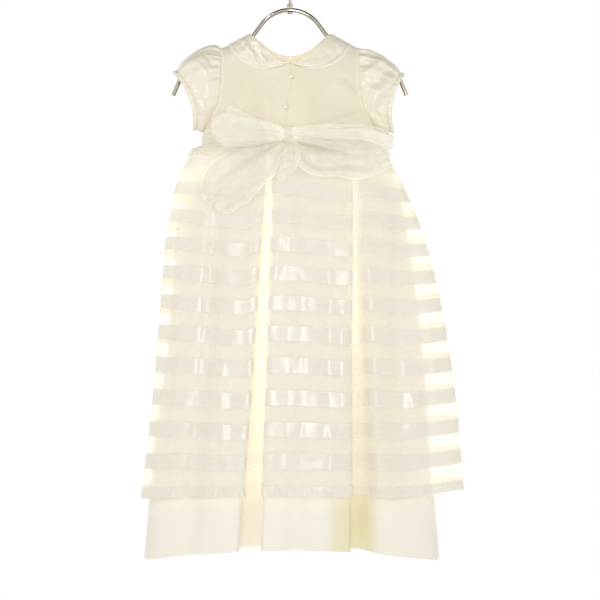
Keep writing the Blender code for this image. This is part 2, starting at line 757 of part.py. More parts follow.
def sash(skin):
    """The band round the waist, over the foot of the bodice and the head of the skirt."""
    angle = 2 * np.pi * np.arange(SASH_COLUMNS) / SASH_COLUMNS
    grid = np.zeros((len(SASH_ROWS), SASH_COLUMNS, 3))
    for r, (z, gap) in enumerate(SASH_ROWS):
        if z < WAIST_Z:
            middle, half, depth = (float(smooth_at(OVERSKIRT_LEVELS, z, c)) for c in (1, 2, 3))
        else:
            middle, half, depth = 0.0, float(smooth_at(BODICE_SIDE, z, 1)), CHEST_DEPTH
        reach = gap + WALL
        x, y = middle - (half + reach) * np.cos(angle), -(depth + reach) * np.sin(angle)
        grid[r] = np.stack([x, y, z + 0 * angle], axis=-1)
    return wall_mesh("sash", grid, inner_points(grid, WALL, wrap=True), skin, wrap=True)


def bow_loop(name, skin):
    """A ribbon that leaves the knot, turns round at its far end and comes back behind itself."""
    size = LOOPS[name]
    way = math.copysign(1.0, size["reach"])
    start = KNOT[0] + way * (KNOT_SIZE[0] + LOOP_CLEAR)
    p = np.linspace(0, 1, LOOP_RUNS)
    angle = 2 * np.pi * p
    out = (1 - np.cos(angle)) / 2
    swell = np.sin(np.pi * p) ** 0.6
    x = start + (size["reach"] - (start - KNOT[0])) * out
    y = KNOT[1] + (size["mid_y"] - KNOT[1]) * swell - size["depth"] * np.sin(angle) * swell**0.5
    y = y - LOOP_PARTING * np.cos(np.pi * p)
    z = KNOT[2] + (size["end_z"] - KNOT[2]) * out**0.8
    half = LOOP_NECK + (size["half_width"] - LOOP_NECK) * swell
    grid = np.zeros((len(LOOP_RIBS), LOOP_RUNS, 3))
    for r, share in enumerate(LOOP_RIBS):
        belly = LOOP_BELLY * (1 - share**2) * swell * np.cos(np.pi * p)
        tip = way * size["round"] * (1 - math.sqrt(1 - share**2)) * out**3
        rise = size["lift"] * swell * p
        grid[r] = np.stack([x - tip, y - belly, z + share * half + rise], axis=-1)
    if way < 0:
        grid = grid[:, ::-1]
    return wall_mesh(name, grid, inner_points(grid, WALL), skin)


def skirt_front_y(x, z):
    """The gown's front without its folds, at the sash or lower down."""
    level = np.minimum(z, WAIST_Z - 0.5)
    half, depth = smooth_at(OVERSKIRT_LEVELS, level, 2), smooth_at(OVERSKIRT_LEVELS, level, 3)
    middle = smooth_at(OVERSKIRT_LEVELS, level, 1)
    across = np.clip(1 - ((x - middle) / half) ** 2, TAIL_SPREAD, 1.0)
    return -(depth + SASH_CLEAR + 2 * WALL) * np.sqrt(across)


def bow_tail(name, skin):
    """A free end of the sash, pinched where it leaves the knot."""
    rows = np.array(TAILS[name])
    steps = np.linspace(0, len(rows) - 1, TAIL_STEPS)
    table = np.column_stack([np.arange(len(rows)), rows])
    x, z, half, clear = (smooth_at(table, steps, c) for c in (1, 2, 3, 4))
    heading = unit(np.stack([np.gradient(x), np.gradient(z)], axis=-1))
    grid = np.zeros((TAIL_RIBS, len(steps), 3))
    for r in range(TAIL_RIBS):
        share = 2 * r / (TAIL_RIBS - 1) - 1
        px = x - heading[:, 1] * share * half
        pz = z + heading[:, 0] * share * half
        ripple = TAIL_RIPPLE * math.cos(share * TAIL_WAVES * math.pi) * np.minimum(half / TAIL_OPEN, 1.0)
        grid[r] = np.stack([px, skirt_front_y(px, pz) - clear - ripple, pz], axis=-1)
    if grid[0, -1, 0] < grid[0, 0, 0]:
        grid = grid[::-1, ::-1]
    return wall_mesh(name, grid, inner_points(grid, WALL), skin)


def knot(skin):
    """The ribbon wrapped over the middle of the bow."""
    made = bmesh.new()
    bmesh.ops.create_uvsphere(made, u_segments=16, v_segments=10, radius=1.0)
    size = np.array(KNOT_SIZE)
    for vertex in made.verts:
        place = np.array(vertex.co)
        place = np.sign(place) * np.abs(place) ** KNOT_SQUARENESS
        vertex.co = Vector((place * size + np.array(KNOT)) * MM)
    mesh = bpy.data.meshes.new("bow_knot")
    made.to_mesh(mesh)
    made.free()
    mesh.shade_smooth()
    return add_object("bow_knot", mesh, skin)


# ============================================================================================
# Buttons and hanger
# ============================================================================================


def buttons(skin):
    for name, height in BUTTON_HEIGHTS.items():
        x, z = np.array(float(smooth_at(OPENING_LINE, height, 1))), np.array(height)
        out = bodice_normals(x, z, "front")
        place = bodice_points(x, z, "front") + out * (BUTTON_HALF_THICK + LAID_GAP)
        made = bmesh.new()
        bmesh.ops.create_uvsphere(made, u_segments=12, v_segments=6, radius=1.0)
        bmesh.ops.scale(
            made, verts=made.verts, vec=Vector((BUTTON_RADIUS, BUTTON_RADIUS, BUTTON_HALF_THICK)) * MM
        )
        mesh = bpy.data.meshes.new(name)
        made.to_mesh(mesh)
        made.free()
        mesh.shade_smooth()
        obj = add_object(name, mesh, skin)
        obj.location = Vector(place) * MM
        obj.rotation_euler = Vector(out).to_track_quat("Z", "Y").to_euler()


def rounded_line(corners, step=5.0):
    """A line through corners of (x, z, radius), with each corner turned into an arc."""
    line = []
    for i, (x, z, radius) in enumerate(corners):
        here = np.array([x, z])
        if radius == 0 or i in (0, len(corners) - 1):
            line.append(here)
            continue
        before = unit(np.array(corners[i - 1][:2]) - here)
        after = unit(np.array(corners[i + 1][:2]) - here)
        half = math.acos(float(np.clip(before @ after, -1, 1))) / 2
        centre = here + unit(before + after) * radius / math.sin(half)
        first = here + before * radius / math.tan(half) - centre
        last = here + after * radius / math.tan(half) - centre
        sweep = math.pi - 2 * half
        count = max(4, math.ceil(sweep * radius / step))
        for k in range(count + 1):
            share = k / count
            line.append(
                centre
                + (first * math.sin((1 - share) * sweep) + last * math.sin(share * sweep)) / math.sin(sweep)
            )
    return line


def hanger(steel):
    left = list(TUBE_CORNERS)
    right = [(-x, z, radius) for x, z, radius in left[-2::-1]]
    line = rounded_line(left + right)
    tube("hanger_arms", [(x, 0.0, z) for x, z in line], TUBE_RADIUS, steel)
    top = max(z for _, z in line)
    nut_foot = top + TUBE_RADIUS + SEAM_GAP
    turned(
        "hanger_nut",
        [
            (0, nut_foot + NUT_HEIGHT),
            (NUT_RADIUS - NUT_BEVEL, nut_foot + NUT_HEIGHT),
            (NUT_RADIUS, nut_foot + NUT_HEIGHT - NUT_BEVEL),
            (NUT_RADIUS, nut_foot + NUT_BEVEL),
            (NUT_RADIUS - NUT_BEVEL, nut_foot),
            (0, nut_foot),
        ],
        steel,
    )
    rivet_top = top - TUBE_RADIUS - RIVET_GAP
    turned(
        "hanger_rivet",
        [
            (0, rivet_top),
            (RIVET_RADIUS, rivet_top),
            (RIVET_RADIUS, rivet_top - RIVET_HEIGHT / 2),
            (RIVET_RADIUS * 0.6, rivet_top - RIVET_HEIGHT),
            (0, rivet_top - RIVET_HEIGHT),
        ],
        steel,
    )
    centre_z = HOOK_WIRE_RADIUS - HOOK_BEND
    stem_foot = nut_foot + NUT_HEIGHT + SEAM_GAP
    sweep = np.radians(np.linspace(HOOK_ROOT_ANGLE, HOOK_TIP_ANGLE, 24))
    arc = [(HOOK_BEND * math.cos(a), 0.0, centre_z + HOOK_BEND * math.sin(a)) for a in sweep]
    join = Vector(arc[0])
    stem_top = Vector((0.0, 0.0, centre_z - HOOK_BEND - HOOK_STEM_DROP))
    heading = Vector((math.cos(sweep[0] + math.pi / 2), 0.0, math.sin(sweep[0] + math.pi / 2)))
    bend = []
    for share in np.linspace(0, 1, 9)[:-1]:
        a, b = stem_top, stem_top + Vector((0.0, 0.0, HOOK_EASE))
        c, d = join - heading * HOOK_EASE, join
        s = 1 - share
        bend.append(tuple(a * s**3 + b * 3 * s * s * share + c * 3 * s * share * share + d * share**3))
    tube("hanger_hook", [(0.0, 0.0, stem_foot), *bend, *arc], HOOK_WIRE_RADIUS, steel)


# ============================================================================================


def main():
    clear_scene()
    gown = bpy.data.collections.new("christening gown")
    bpy.context.scene.collection.children.link(gown)
    satin = material("ivory satin", "F4F0E0", 0.45)
    underlayer = material("ivory taffeta", "F3EFDF", 0.6)
    organza = material("striped organza", "F6F3E8", 0.5, alpha=0.6)
    ribbon = material("ribbon organza", "F7F4EC", 0.5, alpha=0.7)
    pearl = material("pearl button", "F5F1E6", 0.25)
    steel = material("nickel-plated steel", "8F8A80", 0.25, metallic=1.0)

    bodice_panel("bodice_front_left", "front", -1, satin)
    bodice_panel("bodice_front_right", "front", 1, satin)
    bodice_panel("bodice_back", "back", 0, satin)
    sleeves(satin, satin)
    collar(satin)
    for side in ("front", "back"):
        skirt_panel("underskirt", side, underlayer)
        skirt_panel("overskirt", side, organza)
    sash(ribbon)
    for name in LOOPS:
        bow_loop(name, ribbon)
    for name in TAILS:
        bow_tail(name, ribbon)
    knot(ribbon)
    buttons(pearl)
    hanger(steel)


main()
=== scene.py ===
"""Looks of a baby's christening gown on a display hanger.

The gown's cloth is drawn here as thin shells on the same forms as its solids: the same sizes, a finer
net, and the creases, gathers and puckers that soft cloth has. Tables are in millimetres, with the
origin where a rail carries the hook, +Z up and the front facing -Y.
"""

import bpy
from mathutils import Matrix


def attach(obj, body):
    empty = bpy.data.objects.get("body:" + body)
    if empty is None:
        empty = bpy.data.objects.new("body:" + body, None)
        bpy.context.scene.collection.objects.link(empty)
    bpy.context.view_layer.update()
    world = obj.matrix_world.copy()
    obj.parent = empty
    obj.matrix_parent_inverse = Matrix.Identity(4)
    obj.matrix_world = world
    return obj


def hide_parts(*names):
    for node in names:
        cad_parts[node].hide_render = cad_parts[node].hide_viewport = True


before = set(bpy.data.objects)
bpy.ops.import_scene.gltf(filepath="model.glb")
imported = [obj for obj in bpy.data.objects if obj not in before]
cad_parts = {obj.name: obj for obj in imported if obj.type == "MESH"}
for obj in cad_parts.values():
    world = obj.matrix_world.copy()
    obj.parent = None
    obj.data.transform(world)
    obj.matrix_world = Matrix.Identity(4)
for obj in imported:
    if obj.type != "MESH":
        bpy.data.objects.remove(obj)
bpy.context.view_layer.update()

import math

import bmesh
import bpy
import numpy as np
from bpy.props import FloatProperty, FloatVectorProperty, PointerProperty
from bpy.types import Operator, Panel, PropertyGroup
from mathutils import Vector

bl_info = {
    "name": "Christening Gown",
    "version": (1, 0, 0),
    "blender": (4, 5, 0),
    "location": "3D View > Sidebar > Gown",
    "description": "Builds the cloth, bow, buttons and hanger of a christening gown",
    "category": "Add Mesh",
}

MM = 0.001
PAINTED_GLOW_COLOUR = "FFF8DF"  # painted glow: colour of an emission that stands in for light that has come through the cloth
PAINTED_SHADE_COLOUR = "E4DAA8"  # painted shade: the yellower, darker colour drawn where shade falls inside a pleat
BODY = "root"
OUT = {"front": -1, "back": 1}  # the way along Y that a panel faces

# ---- seams and walls -----------------------------------------------------------------------
SEAM_GAP = 0.3
SHARP_ANGLE = math.radians(60)  # cloth folded more sharply than this shows an edge
COLLAR_THICKNESS = 1  # two layers and their interlining
BINDING_THICKNESS = 1.4
CREASE_TAPER = 0.7  # how bluntly a crease begins and ends
CREASE_END_WIDTH = 0.6  # of its full width
WANDER_WAVES = 7
WANDER_SIZES = (0.7, 1.6)  # of the waves, as shares of the size asked for
RIPPLE_SPACINGS = (0.6, 1.4)  # as shares of the spacing asked for
RIPPLE_HEIGHTS = (0.45, 1)
WAIST_Z = -268

# ---- bodice --------------------------------------------------------------------------------
CHEST_HALF_WIDTH = 121.5
CHEST_DEPTH = 28
SHOULDER_ROUND = 75
NECK_HALF_WIDTH = 56.5
SHOULDER_HALF_WIDTH = 98
NECK_FRONT_Z = -156.5
NECK_BACK_Z = -141
UNDERARM_Z = -246.5
UNDERARM_OVERLAP = 0.6
BODICE_ROWS = 72
BODICE_COLUMNS = 70
BODICE_CROWDING = 0.9  # draws the net's columns together at the sides and its rows at the top
BODICE_EDGE_FADE = (5, 4)  # rows and columns of the net in which the creases fade at a seam
BODICE_CREASING = 1.3
BODICE_WANDER = (
    # height, size and seed of the cloth's unevenness
    (0.5, 60, 3),
    (0.1, 24, 8),
)
PLACKET_WIDTH = 17  # of the doubled strip along the opening
PLACKET_RISE = 0.45
PLACKET_EDGE = 2.5  # how steeply the strip ends, for each millimetre
PLACKET_LAP = 2.5
SEAM_TUCK = 0.8  # how deep an edge lies that another piece is sewn over
# The seam allowance inside the armhole lifts the panel's last columns into a soft ridge.
SEAM_RIDGE = 0.8
SEAM_RIDGE_COLUMNS = (0.3, 0.8, 1, 0.3)
SEAM_RIDGE_FADE = 20  # above the underarm
SEAM_GLOW = 0.06  # how much painted glow lightens the ridge, as a share
INSIDE_GLOW = 0.17  # painted glow that lightens the panels' inner sides

SHOULDER_LINE = (
    # x, height
    (0, -112),
    (50, -112),
    (58, -114),
    (70, -120.5),
    (86, -128.8),
    (98, -133.5),
)
NECKLINE = (
    # out, up, as shares
    (0.00, 0.00),
    (0.25, 0.08),
    (0.45, 0.26),
    (0.62, 0.49),
    (0.76, 0.71),
    (0.88, 0.87),
    (1.00, 1.00),
)
BODICE_SIDE = (
    # height, half-width
    (-268, 122.5),
    (-257, 122),
    (-246.5, 121.5),
    (-240, 117.5),
    (-230, 110.5),
    (-217, 103.5),
    (-200, 98.5),
    (-177, 96),
    (-155, 96),
    (-133.5, 98),
)
OPENING_LINE = (
    # height, x
    (-268, -1),
    (-240, -4.5),
    (-217.5, -6),
    (-195, -1),
    (-175, 1.5),
    (-154.5, 0),
)
# Creases are soft lines. Each table's columns are the x and height where a crease starts and ends,
# how far it bows to its left, its half-width and its rise, which is negative in a trough.
BODICE_FRONT_CREASES = (
    (22, -247, 106, -221, -4, 4.5, 2),
    (30, -254, 112, -236, -6, 6, -1.8),
    (60, -186, 97, -208, 5, 7, 1.6),
    (70, -172, 92, -196, 3, 6, -1.2),
    (40, -200, 95, -232, 6, 14, -1.4),
    (-98, -195, -66, -222, 6, 6.5, 1.5),
    (-104, -222, -78, -208, -3, 5, -1.3),
    (-60, -180, -52, -246, 4, 12, -1.2),
    (-34, -176, -30, -240, -3, 9, 1),
    (26, -180, 18, -240, 4, 10, 0.8),
    (-118, -250, -70, -236, 4, 5, 1.2),
)
BODICE_BACK_CREASES = (
    (-20, -180, -26, -250, 4, 11, 1),
    (30, -176, 34, -252, -4, 13, -1.2),
    (62, -190, 97, -214, 5, 7, 1.5),
    (-62, -188, -98, -212, -4, 6.5, 1.3),
    (-24, -258, -108, -232, 4, 5, 1.5),
    (34, -256, 110, -236, -5, 5.5, 1.7),
    (-70, -200, -58, -252, 4, 9, -1),
)

# Painted shade: the front's cloth is drawn yellower and darker along these bands, in the columns of a
# crease whose rise is the share.
BODICE_PAINTED_SHADE = (
    (-58, -140, -56, -275, 2, 22, 0.16),
    (20, -140, 26, -280, -3, 26, 0.2),
    (96, -170, 88, -262, 3, 8, 0.14),
)

# ---- sleeves -------------------------------------------------------------------------------
SLEEVES = {
    "left": dict(top=(-158, -163), foot=(-129.5, -246), cap=9, seed=5),
    "right": dict(top=(155, -166), foot=(139.5, -250), cap=4, seed=11),
}
CUFF_HALF_DEPTH = 19
CUFF_BOW = 10
CUFF_BAND = 7
SLEEVE_PUFF = 5
SLEEVE_PUFF_ROUNDNESS = 0.7
SLEEVE_TUCK = 1.4
SLEEVE_COLUMNS = 256
SLEEVE_ROWS = 34
SLEEVE_WANDER = (0.5, 22)  # height and size of the cloth's unevenness
SLEEVE_EDGE_FADE = 0.08  # of its length, in which the creases fade at a seam
SLEEVE_TUCK_FADE = 0.05  # the same, for the edge that lies under the bodice
ARMHOLE_LENGTH = 250
OPENING_LENGTH = 190
HEAD_GATHERS = (
    # share of the height, spacing, share of the sleeve's length in which they fade
    (0.7, 3.6, 0.16),
    (1, 8, 0.4),
)
HEAD_GATHER = 2.6  # height of the gathers at the armhole
CUFF_GATHER = 1.1
CUFF_GATHER_SPACING = 4.5
CUFF_GATHER_FADE = 0.25
CUFF_ROWS = 9
CUFF_ROLL = 0.7  # how far the middle of the binding stands out
CUFF_SINK = 0.5
CUFF_PUCKER = 0.35
CUFF_PUCKER_SPACING = 3.2
SLEEVE_CREASES = {
    "left": (
        (-134, -152, -112, -180, 3, 4, 1.6),
        (-142, -160, -108, -214, -4, 6, -2),
        (-150, -172, -112, -226, -5, 5, 1.8),
        (-146, -182, -124, -236, -2, 4.5, -1.4),
        (-122, -142, -104, -166, 2, 3, -1.3),
        (-140, -200, -116, -240, 3, 3.5, 1.2),
    ),
    "right": (
        (98, -182, 131, -151, 3, 5, 2.6),
        (106, -199, 144, -161, 3, 5.5, -2.8),
        (111, -218, 153, -171, 4, 6, 3),
        (118, -228, 152, -196, 3, 5, -2.2),
        (112, -226, 126, -245, 0, 3, 2),
        (119, -222, 131, -242, 0, 2.6, -1.6),
        (100, -150, 122, -143, 0, 3, -1.5),
    ),
}

# ---- collar --------------------------------------------------------------------------------
COLLAR_EDGE = (
    # share of the way round a half (0 at the opening, 1 at the shoulder, 2 behind), x, height
    (0.00, 1.5, -157),
    (0.14, 9.5, -160.5),
    (0.30, 22, -164),
    (0.42, 33, -165.5),
    (0.56, 46.5, -164.5),
    (0.68, 57.5, -160.5),
    (0.78, 66.5, -155),
    (0.87, 74.5, -147.5),
    (0.94, 80.5, -139),
    (1.00, 85, -128.3),
    (1.10, 83.5, -141.5),
    (1.25, 76, -156),
    (1.40, 63, -166.5),
    (1.60, 42, -174),
    (1.80, 20, -177),
    (2.00, 0, -177.5),
)
COLLAR_CLEAR = 0.3
COLLAR_COLUMNS = 150  # on each half
COLLAR_ROWS = 26
COLLAR_CROWDING = 0.35  # spacing of the columns at the shoulder, against an even one
COLLAR_WANDER = (0.2, 0.45)  # height of the unevenness all over, and what the left front adds to it
COLLAR_WANDER_SIZE = 15
COLLAR_DIP = -0.6  # the lowest that the collar may sink
COLLAR_RIM = (
    # height, share of the way from the neck to the edge
    (0.5, 0.92),
    (-0.4, 0.8),
)
COLLAR_RIM_WIDTH = 0.05
COLLAR_EDGE_ROLL = 0.5  # how far the very edge turns down
COLLAR_EDGE_SHARPNESS = 30
COLLAR_LEAN_X = 6  # how soon the way out leans sideways, going away from a centre
COLLAR_LEAN_Y = 25  # how soon it leans forwards or back, going away from the shoulder
COLLAR_FRONT_FADE = 6  # depth in which the front's creases begin
COLLAR_LEFT_FADE = 12
COLLAR_CREASES = (
    (-66, -128, -48, -158, 4, 4.5, 1.8),
    (-56, -124, -38, -150, -3, 4, -1.6),
    (-44, -146, -30, -162, 2, 4, 1.6),
    (-30, -150, -12, -162, -2, 3.5, 1.2),
    (-24, -155, -20, -163, 0, 3, -1.2),
    (-74, -136, -58, -158, -3, 3.5, -1.2),
    (18, -152, 60, -146, 5, 6, -1.2),
    (26, -160, 70, -150, -4, 4, 1.2),
    (60, -122, 74, -144, 2, 5, 0.9),
)

# ---- skirts --------------------------------------------------------------------------------
OVERSKIRT_LEVELS = (
    # height, centre x, half-width, depth in front, depth behind
    (-268.3, 0, 122.5, 28.6, 28.6),
    (-273, -1, 130, 33, 32),
    (-280, -1, 137.5, 37, 35),
    (-290, -1.5, 142.5, 40, 37.5),
    (-300, -2, 148.5, 42, 39),
    (-322, -1, 157.5, 45, 42),
    (-350, 1, 167, 48, 45),
    (-400, 9.5, 182.5, 53, 50),
    (-479, 14.5, 195, 58, 55),
    (-569, 20, 206, 62, 59),
    (-660, 20, 216.5, 66, 63),
    (-762, 17.5, 226, 70, 66),
)
UNDERSKIRT_LEVELS = (
    # height, centre x, half-width, depth in front, depth behind
    (-268.3, 0, 120, 26.2, 26.2),
    (-285, 0, 132, 30, 29),
    (-300, 0, 138.5, 32.5, 31),
    (-345, 3, 154, 37.5, 36),
    (-400, 5, 163, 43, 41),
    (-479, 7.5, 171, 49, 46),
    (-569, 8, 180, 54, 51),
    (-660, 4.5, 190, 58, 55),
    (-762, 2.5, 198, 62, 59),
    (-846, 2.5, 206.5, 66, 62),
)
SKIRT_FOLDS = (
    # side, kind, x at the waist, x at the hem, half-width at the hem, depth at the hem
    ("front", "soft", -86, -142, 30, 10),
    ("front", "box", -26, -55, 19.5, 44),
    ("front", "soft", 10, 10, 26, 6),
    ("front", "ramp", 88, 101, 22, 40),
    ("back", "soft", 90, 148, 28, 10),
    ("back", "box", 40, 70, 20, 32),
    ("back", "soft", 4, 8, 26, 7),
    ("back", "box", -36, -58, 20, 34),
    ("back", "soft", -92, -146, 28, 10),
)
BOX_HALF = (
    # place where the fold begins, place at the hem, sink, all as shares
    (-1.18, -1.18, 0.00),
    (-0.97, -0.88, 0.02),
    (-0.83, -0.79, 0.13),
    (-0.69, -0.84, 0.45),
    (-0.56, -0.94, 0.86),
    (-0.44, -0.88, 0.99),
    (-0.14, -0.35, 1.00),
)
RAMP = (
    # the same columns
    (-2.00, -2.00, 0.00),
    (-1.25, -1.20, 0.07),
    (-0.97, -0.88, 0.11),
    (-0.83, -0.79, 0.23),
    (-0.69, -0.84, 0.50),
    (-0.56, -0.94, 0.88),
    (-0.44, -0.86, 0.99),
    (-0.10, -0.25, 1.00),
    (0.25, 0.20, 0.88),
    (0.62, 0.65, 0.52),
    (1.00, 1.05, 0.20),
    (1.45, 1.50, 0.03),
)
SOFT_HALF = (
    # the same columns
    (-1.00, -1.00, 0.03),
    (-0.62, -0.62, 0.32),
    (-0.28, -0.28, 0.84),
)


def mirrored(half):
    """The other half of a fold."""
    return tuple((-start, -end, sink) for start, end, sink in half[::-1])


FOLD_PROFILES = {
    "box": BOX_HALF + mirrored(BOX_HALF),
    "ramp": RAMP,
    "soft": SOFT_HALF + ((0, 0, 1),) + mirrored(SOFT_HALF),
}
FOLD_DEEPENING = 0.9
FOLD_START = 0.5
HEM_SQUARENESS = 0.22
SIDE_LIFT_START = 150
SIDE_SEAM_FADE = 8  # beside a side seam, in which the gathers fade
GATHER_FADE = 4  # under the waist seam, in which the gathers begin
SKIRT_WANDER = (
    # height, size, seed, how much the place down the skirt counts: less of it makes longer waves
    (0.4, 40, 9, 0.35),
    (0.14, 24, 12, 1),
)
SKIRT_WANDER_FADE = 60
SKIRTS = {
    "overskirt": dict(
        levels=OVERSKIRT_LEVELS,
        rows=(-268.3, -272, -278, -290, -316, -380, -490, -620, -762),
        pitch=11,
        fold_ease=3.4,
        middle_rise=10,
        side_lift=14,
        net=(164, 268),
        creasing=1,
    ),
    "underskirt": dict(
        levels=UNDERSKIRT_LEVELS,
        rows=(-268.3, -290, -345, -440, -560, -700, -846),
        pitch=25,
        fold_ease=0,
        middle_rise=20,
        side_lift=0,
        net=(110, 210),
        creasing=0.45,
    ),
}
COVER_HEM = -762  # of the overskirt
# Painted shade in and beside the right-hand pleat: the cloth is drawn yellower and darker there.
PAINTED_PLEAT_SHADE = {
    # rows of: height, where the painted shade beside the right-hand pleat starts and ends, its share
    "underskirt": (
        (-850, 56, 112, 0.56),
        (-762, 57, 110, 0.52),
        (-740, 58, 108, 0.12),
        (-268, 56, 72, 0),
    ),
    "overskirt": (
        (-850, 84, 160, 0.1),
        (-600, 78, 150, 0.08),
        (-400, 66, 120, 0.06),
        (-268, 56, 84, 0),
    ),
}
PAINTED_PLEAT_SHADE_EDGE = 3
SKIRT_GLOW = {"overskirt": (0.06, 1), "underskirt": (0.05, 0.5)}  # painted glow all over, and in the folds against their shade
COVERED_GLOW = 0.09  # more painted glow where the overskirt lies on the underskirt and shades it
COVERED_EDGE = (4, 6)  # how far above the overskirt's hem that begins, and how softly
FOLD_GLOW = {
    # rows of: x, how much painted glow lightens the shade at the bottom of a deep fold there
    "front": ((-250, 0.2), (20, 0.2), (60, 0.12), (260, 0.12)),
    "back": ((-250, 0.3), (250, 0.3)),
}
FOLD_GLOW_DEPTHS = (14, 36)  # where a fold starts to glow, and where it glows in full, at the hem
FOLD_GLOW_FADE = (
    # height, share of the glow
    (-850, 0.75),
    (-700, 0.85),
    (-560, 1.15),
    (-400, 1.1),
    (-320, 0.8),
    (-280, 0.3),
)
PAINTED_PLEAT_EDGE_GLOW = (
    # painted glow round the edge of the right-hand pleat, in the columns of a crease: its rise is the
    # share
    (86, -296, 92, -580, -1, 2.8, 0.2),
)
# At its sides the overskirt hangs clear of the underskirt, and a painted glow stands in for the light that
# comes through it there.
EDGE_GLOW = 0.28
EDGE_CLEAR = 4.5  # how far inside the underskirt's side that starts, on the right
EDGE_SOFTNESS = 0.8
EDGE_START_Z = -300
EDGE_START_FADE = 50
SATIN_GLOW = 0.12  # how much of that painted glow a satin stripe gets
# Gathers at the waist, from fine ones that fade out at once to wide ones that run far down.
GATHERS = (
    # spacing along the waist, height, length down the skirt
    (4.6, 1.1, 22),
    (9.5, 2.2, 75),
    (21, 2.2, 170),
)
SKIRT_CREASES = {
    ("overskirt", "front"): (
        (-10, -300, -22, -470, 3, 8, 1.8),
        (10, -300, 10, -1100, 0, 15, 4.6),
        (6, -300, -2, -420, -2, 7, 2.6),
        (52, -640, 56, -758, 2, 8, 2.6),
        (46, -300, 50, -700, 4, 9, -3),
        (80, -290, 86, -520, 3, 14, 3.4),
        (76, -480, 78, -700, -3, 8, 2.2),
        (-86, -310, -78, -600, -3, 24, 2.6),
        (-106, -330, -116, -540, 4, 12, -3.4),
        (-118, -600, -112, -756, 3, 9, 2.8),
        (-92, -560, -88, -720, -3, 8, 2),
        (-150, -420, -168, -756, 4, 9, 2.6),
        (-176, -540, -186, -765, 2, 12, 2.6),
        (126, -310, 134, -520, 3, 15, 3),
        (146, -420, 152, -640, -3, 9, -2.6),
        (118, -560, 124, -750, -3, 9, 2.4),
        (160, -560, 178, -756, 3, 9, 3),
        (186, -560, 150, -690, 5, 8, 2.2),
        (190, -500, 206, -700, 2, 6, 2.4),
        (150, -296, 172, -350, 3, 6, 3),
    ),
    ("overskirt", "back"): (
        (0, -300, -14, -600, 4, 11, 3),
        (24, -340, 40, -740, -4, 10, -2.4),
        (110, -320, 122, -640, 4, 11, 2.8),
        (160, -420, 180, -750, -4, 11, 2.6),
        (-100, -330, -108, -660, 4, 11, 2.8),
        (-150, -420, -170, -740, 3, 11, -2.4),
        (-20, -520, -30, -756, 3, 10, 2.2),
    ),
    ("underskirt", "front"): (
        (20, -600, 26, -836, 4, 14, 1.6),
        (-92, -700, -126, -838, 3, 8, 2.4),
        (150, -640, 160, -838, 3, 12, 2.2),
        (130, -700, 134, -838, -3, 9, -1.8),
        (176, -700, 186, -838, -3, 8, 1.8),
    ),
    ("underskirt", "back"): (
        (-10, -600, -16, -836, 4, 13, 2),
        (110, -620, 124, -838, 3, 12, 2.2),
        (-110, -640, -122, -838, 3, 12, -2),
        (-160, -660, -172, -838, 3, 10, 1.8),
    ),
}
# How far a point of the overskirt is from its hem along the cloth, which is cut to the stripes.
STRIPE_RISE = (
    # height above the hem's level, distance along the cloth
    (0, 0),
    (50, 47),
    (139, 133),
    (228, 219),
    (311, 305),
    (389, 391),
    (494, 508),
)
STRIPE_LEAN_START = 60  # how high above the hem the stripes lean in full
# How much higher the stripes run than in the middle of the skirt, lower down and higher up.
STRIPE_LEAN = (
    # x, lift at the hem, lift at the waist
    (-215, 1, 12),
    (-150, -1, 6),
    (-58, -3, -6),
    (-50, 0, 0),
    (0, 0, 3),
    (84, 0, -8),
    (104, 0, 4),
    (160, 0, -8),
    (240, 0, 4),
)
HEM_PUCKER = 0.8  # height of the small puckers along the overskirt's turned hem
HEM_PUCKER_PITCH = 5
HEM_PUCKER_HEIGHT = 13

# ---- sash and bow --------------------------------------------------------------------------
SASH_CLEAR = 3.6
SASH_LEVELS = (
    # height, clear of the cloth under it
    (-284, 0.2),
    (-282.5, 1.8),
    (-279.5, 3),
    (-272.5, SASH_CLEAR),
    (-267, 2.2),
    (-259, 1),
    (-252, 0.8),
)
SASH_NET = (26, 360)
SASH_PLEATS = (
    # height, half-width, rise, how far it wanders up and down
    (-256, 1.6, 0.8, 1.2),
    (-262.5, 2.2, 1.2, 2),
    (-269, 2, -0.9, 2.4),
    (-275, 2.2, 1.1, 2),
    (-281, 1.6, 0.7, 1),
)
SASH_WANDER = (0.25, 14)  # height and size of the ribbon's unevenness
SASH_RADIUS = 80  # about what it is round the waist
SASH_SECOND_WAVE = 0.6  # of the wander, in a shorter wave
KNOT = (-5, -47, -256.5)
KNOT_SIZE = (14.5, 14, 10)  # half its width, depth and height
KNOT_SQUARENESS = 0.8
KNOT_FOLDS = (
    # depth, folds across, how much they slant
    (0.07, 5, 6),
    (0.03, 13, 9),
)
LOOPS = {
    # round: how far the corners of the end are drawn in
    # rows of: share of the run, x, depth, height, half-width; out in front, round the end, back behind
    "bow_loop_left": dict(
        round=20,
        rows=(
            (0.00, -8, -56, -257.5, 8),
            (0.12, -30, -62, -256.5, 14),
            (0.28, -60, -67, -257, 19.5),
            (0.42, -93, -65, -254.5, 21.5),
            (0.50, -107, -57, -248.5, 25.5),
            (0.58, -99, -49.5, -243.5, 25.5),
            (0.72, -70, -46.5, -247, 21),
            (0.88, -34, -45, -253.5, 13),
            (1.00, -8, -45, -257, 9),
        ),
    ),
    "bow_loop_right": dict(
        round=9,
        rows=(
            (0.00, 4, -56, -257, 8),
            (0.12, 34, -63, -255.5, 9),
            (0.28, 74, -70, -256.5, 10),
            (0.42, 120, -69, -260, 11.5),
            (0.50, 142, -60, -268.5, 12.5),
            (0.58, 126, -51, -271.5, 17),
            (0.72, 84, -47, -268.5, 18),
            (0.88, 38, -45, -261.5, 12.5),
            (1.00, 4, -45, -258, 8),
        ),
    ),
}
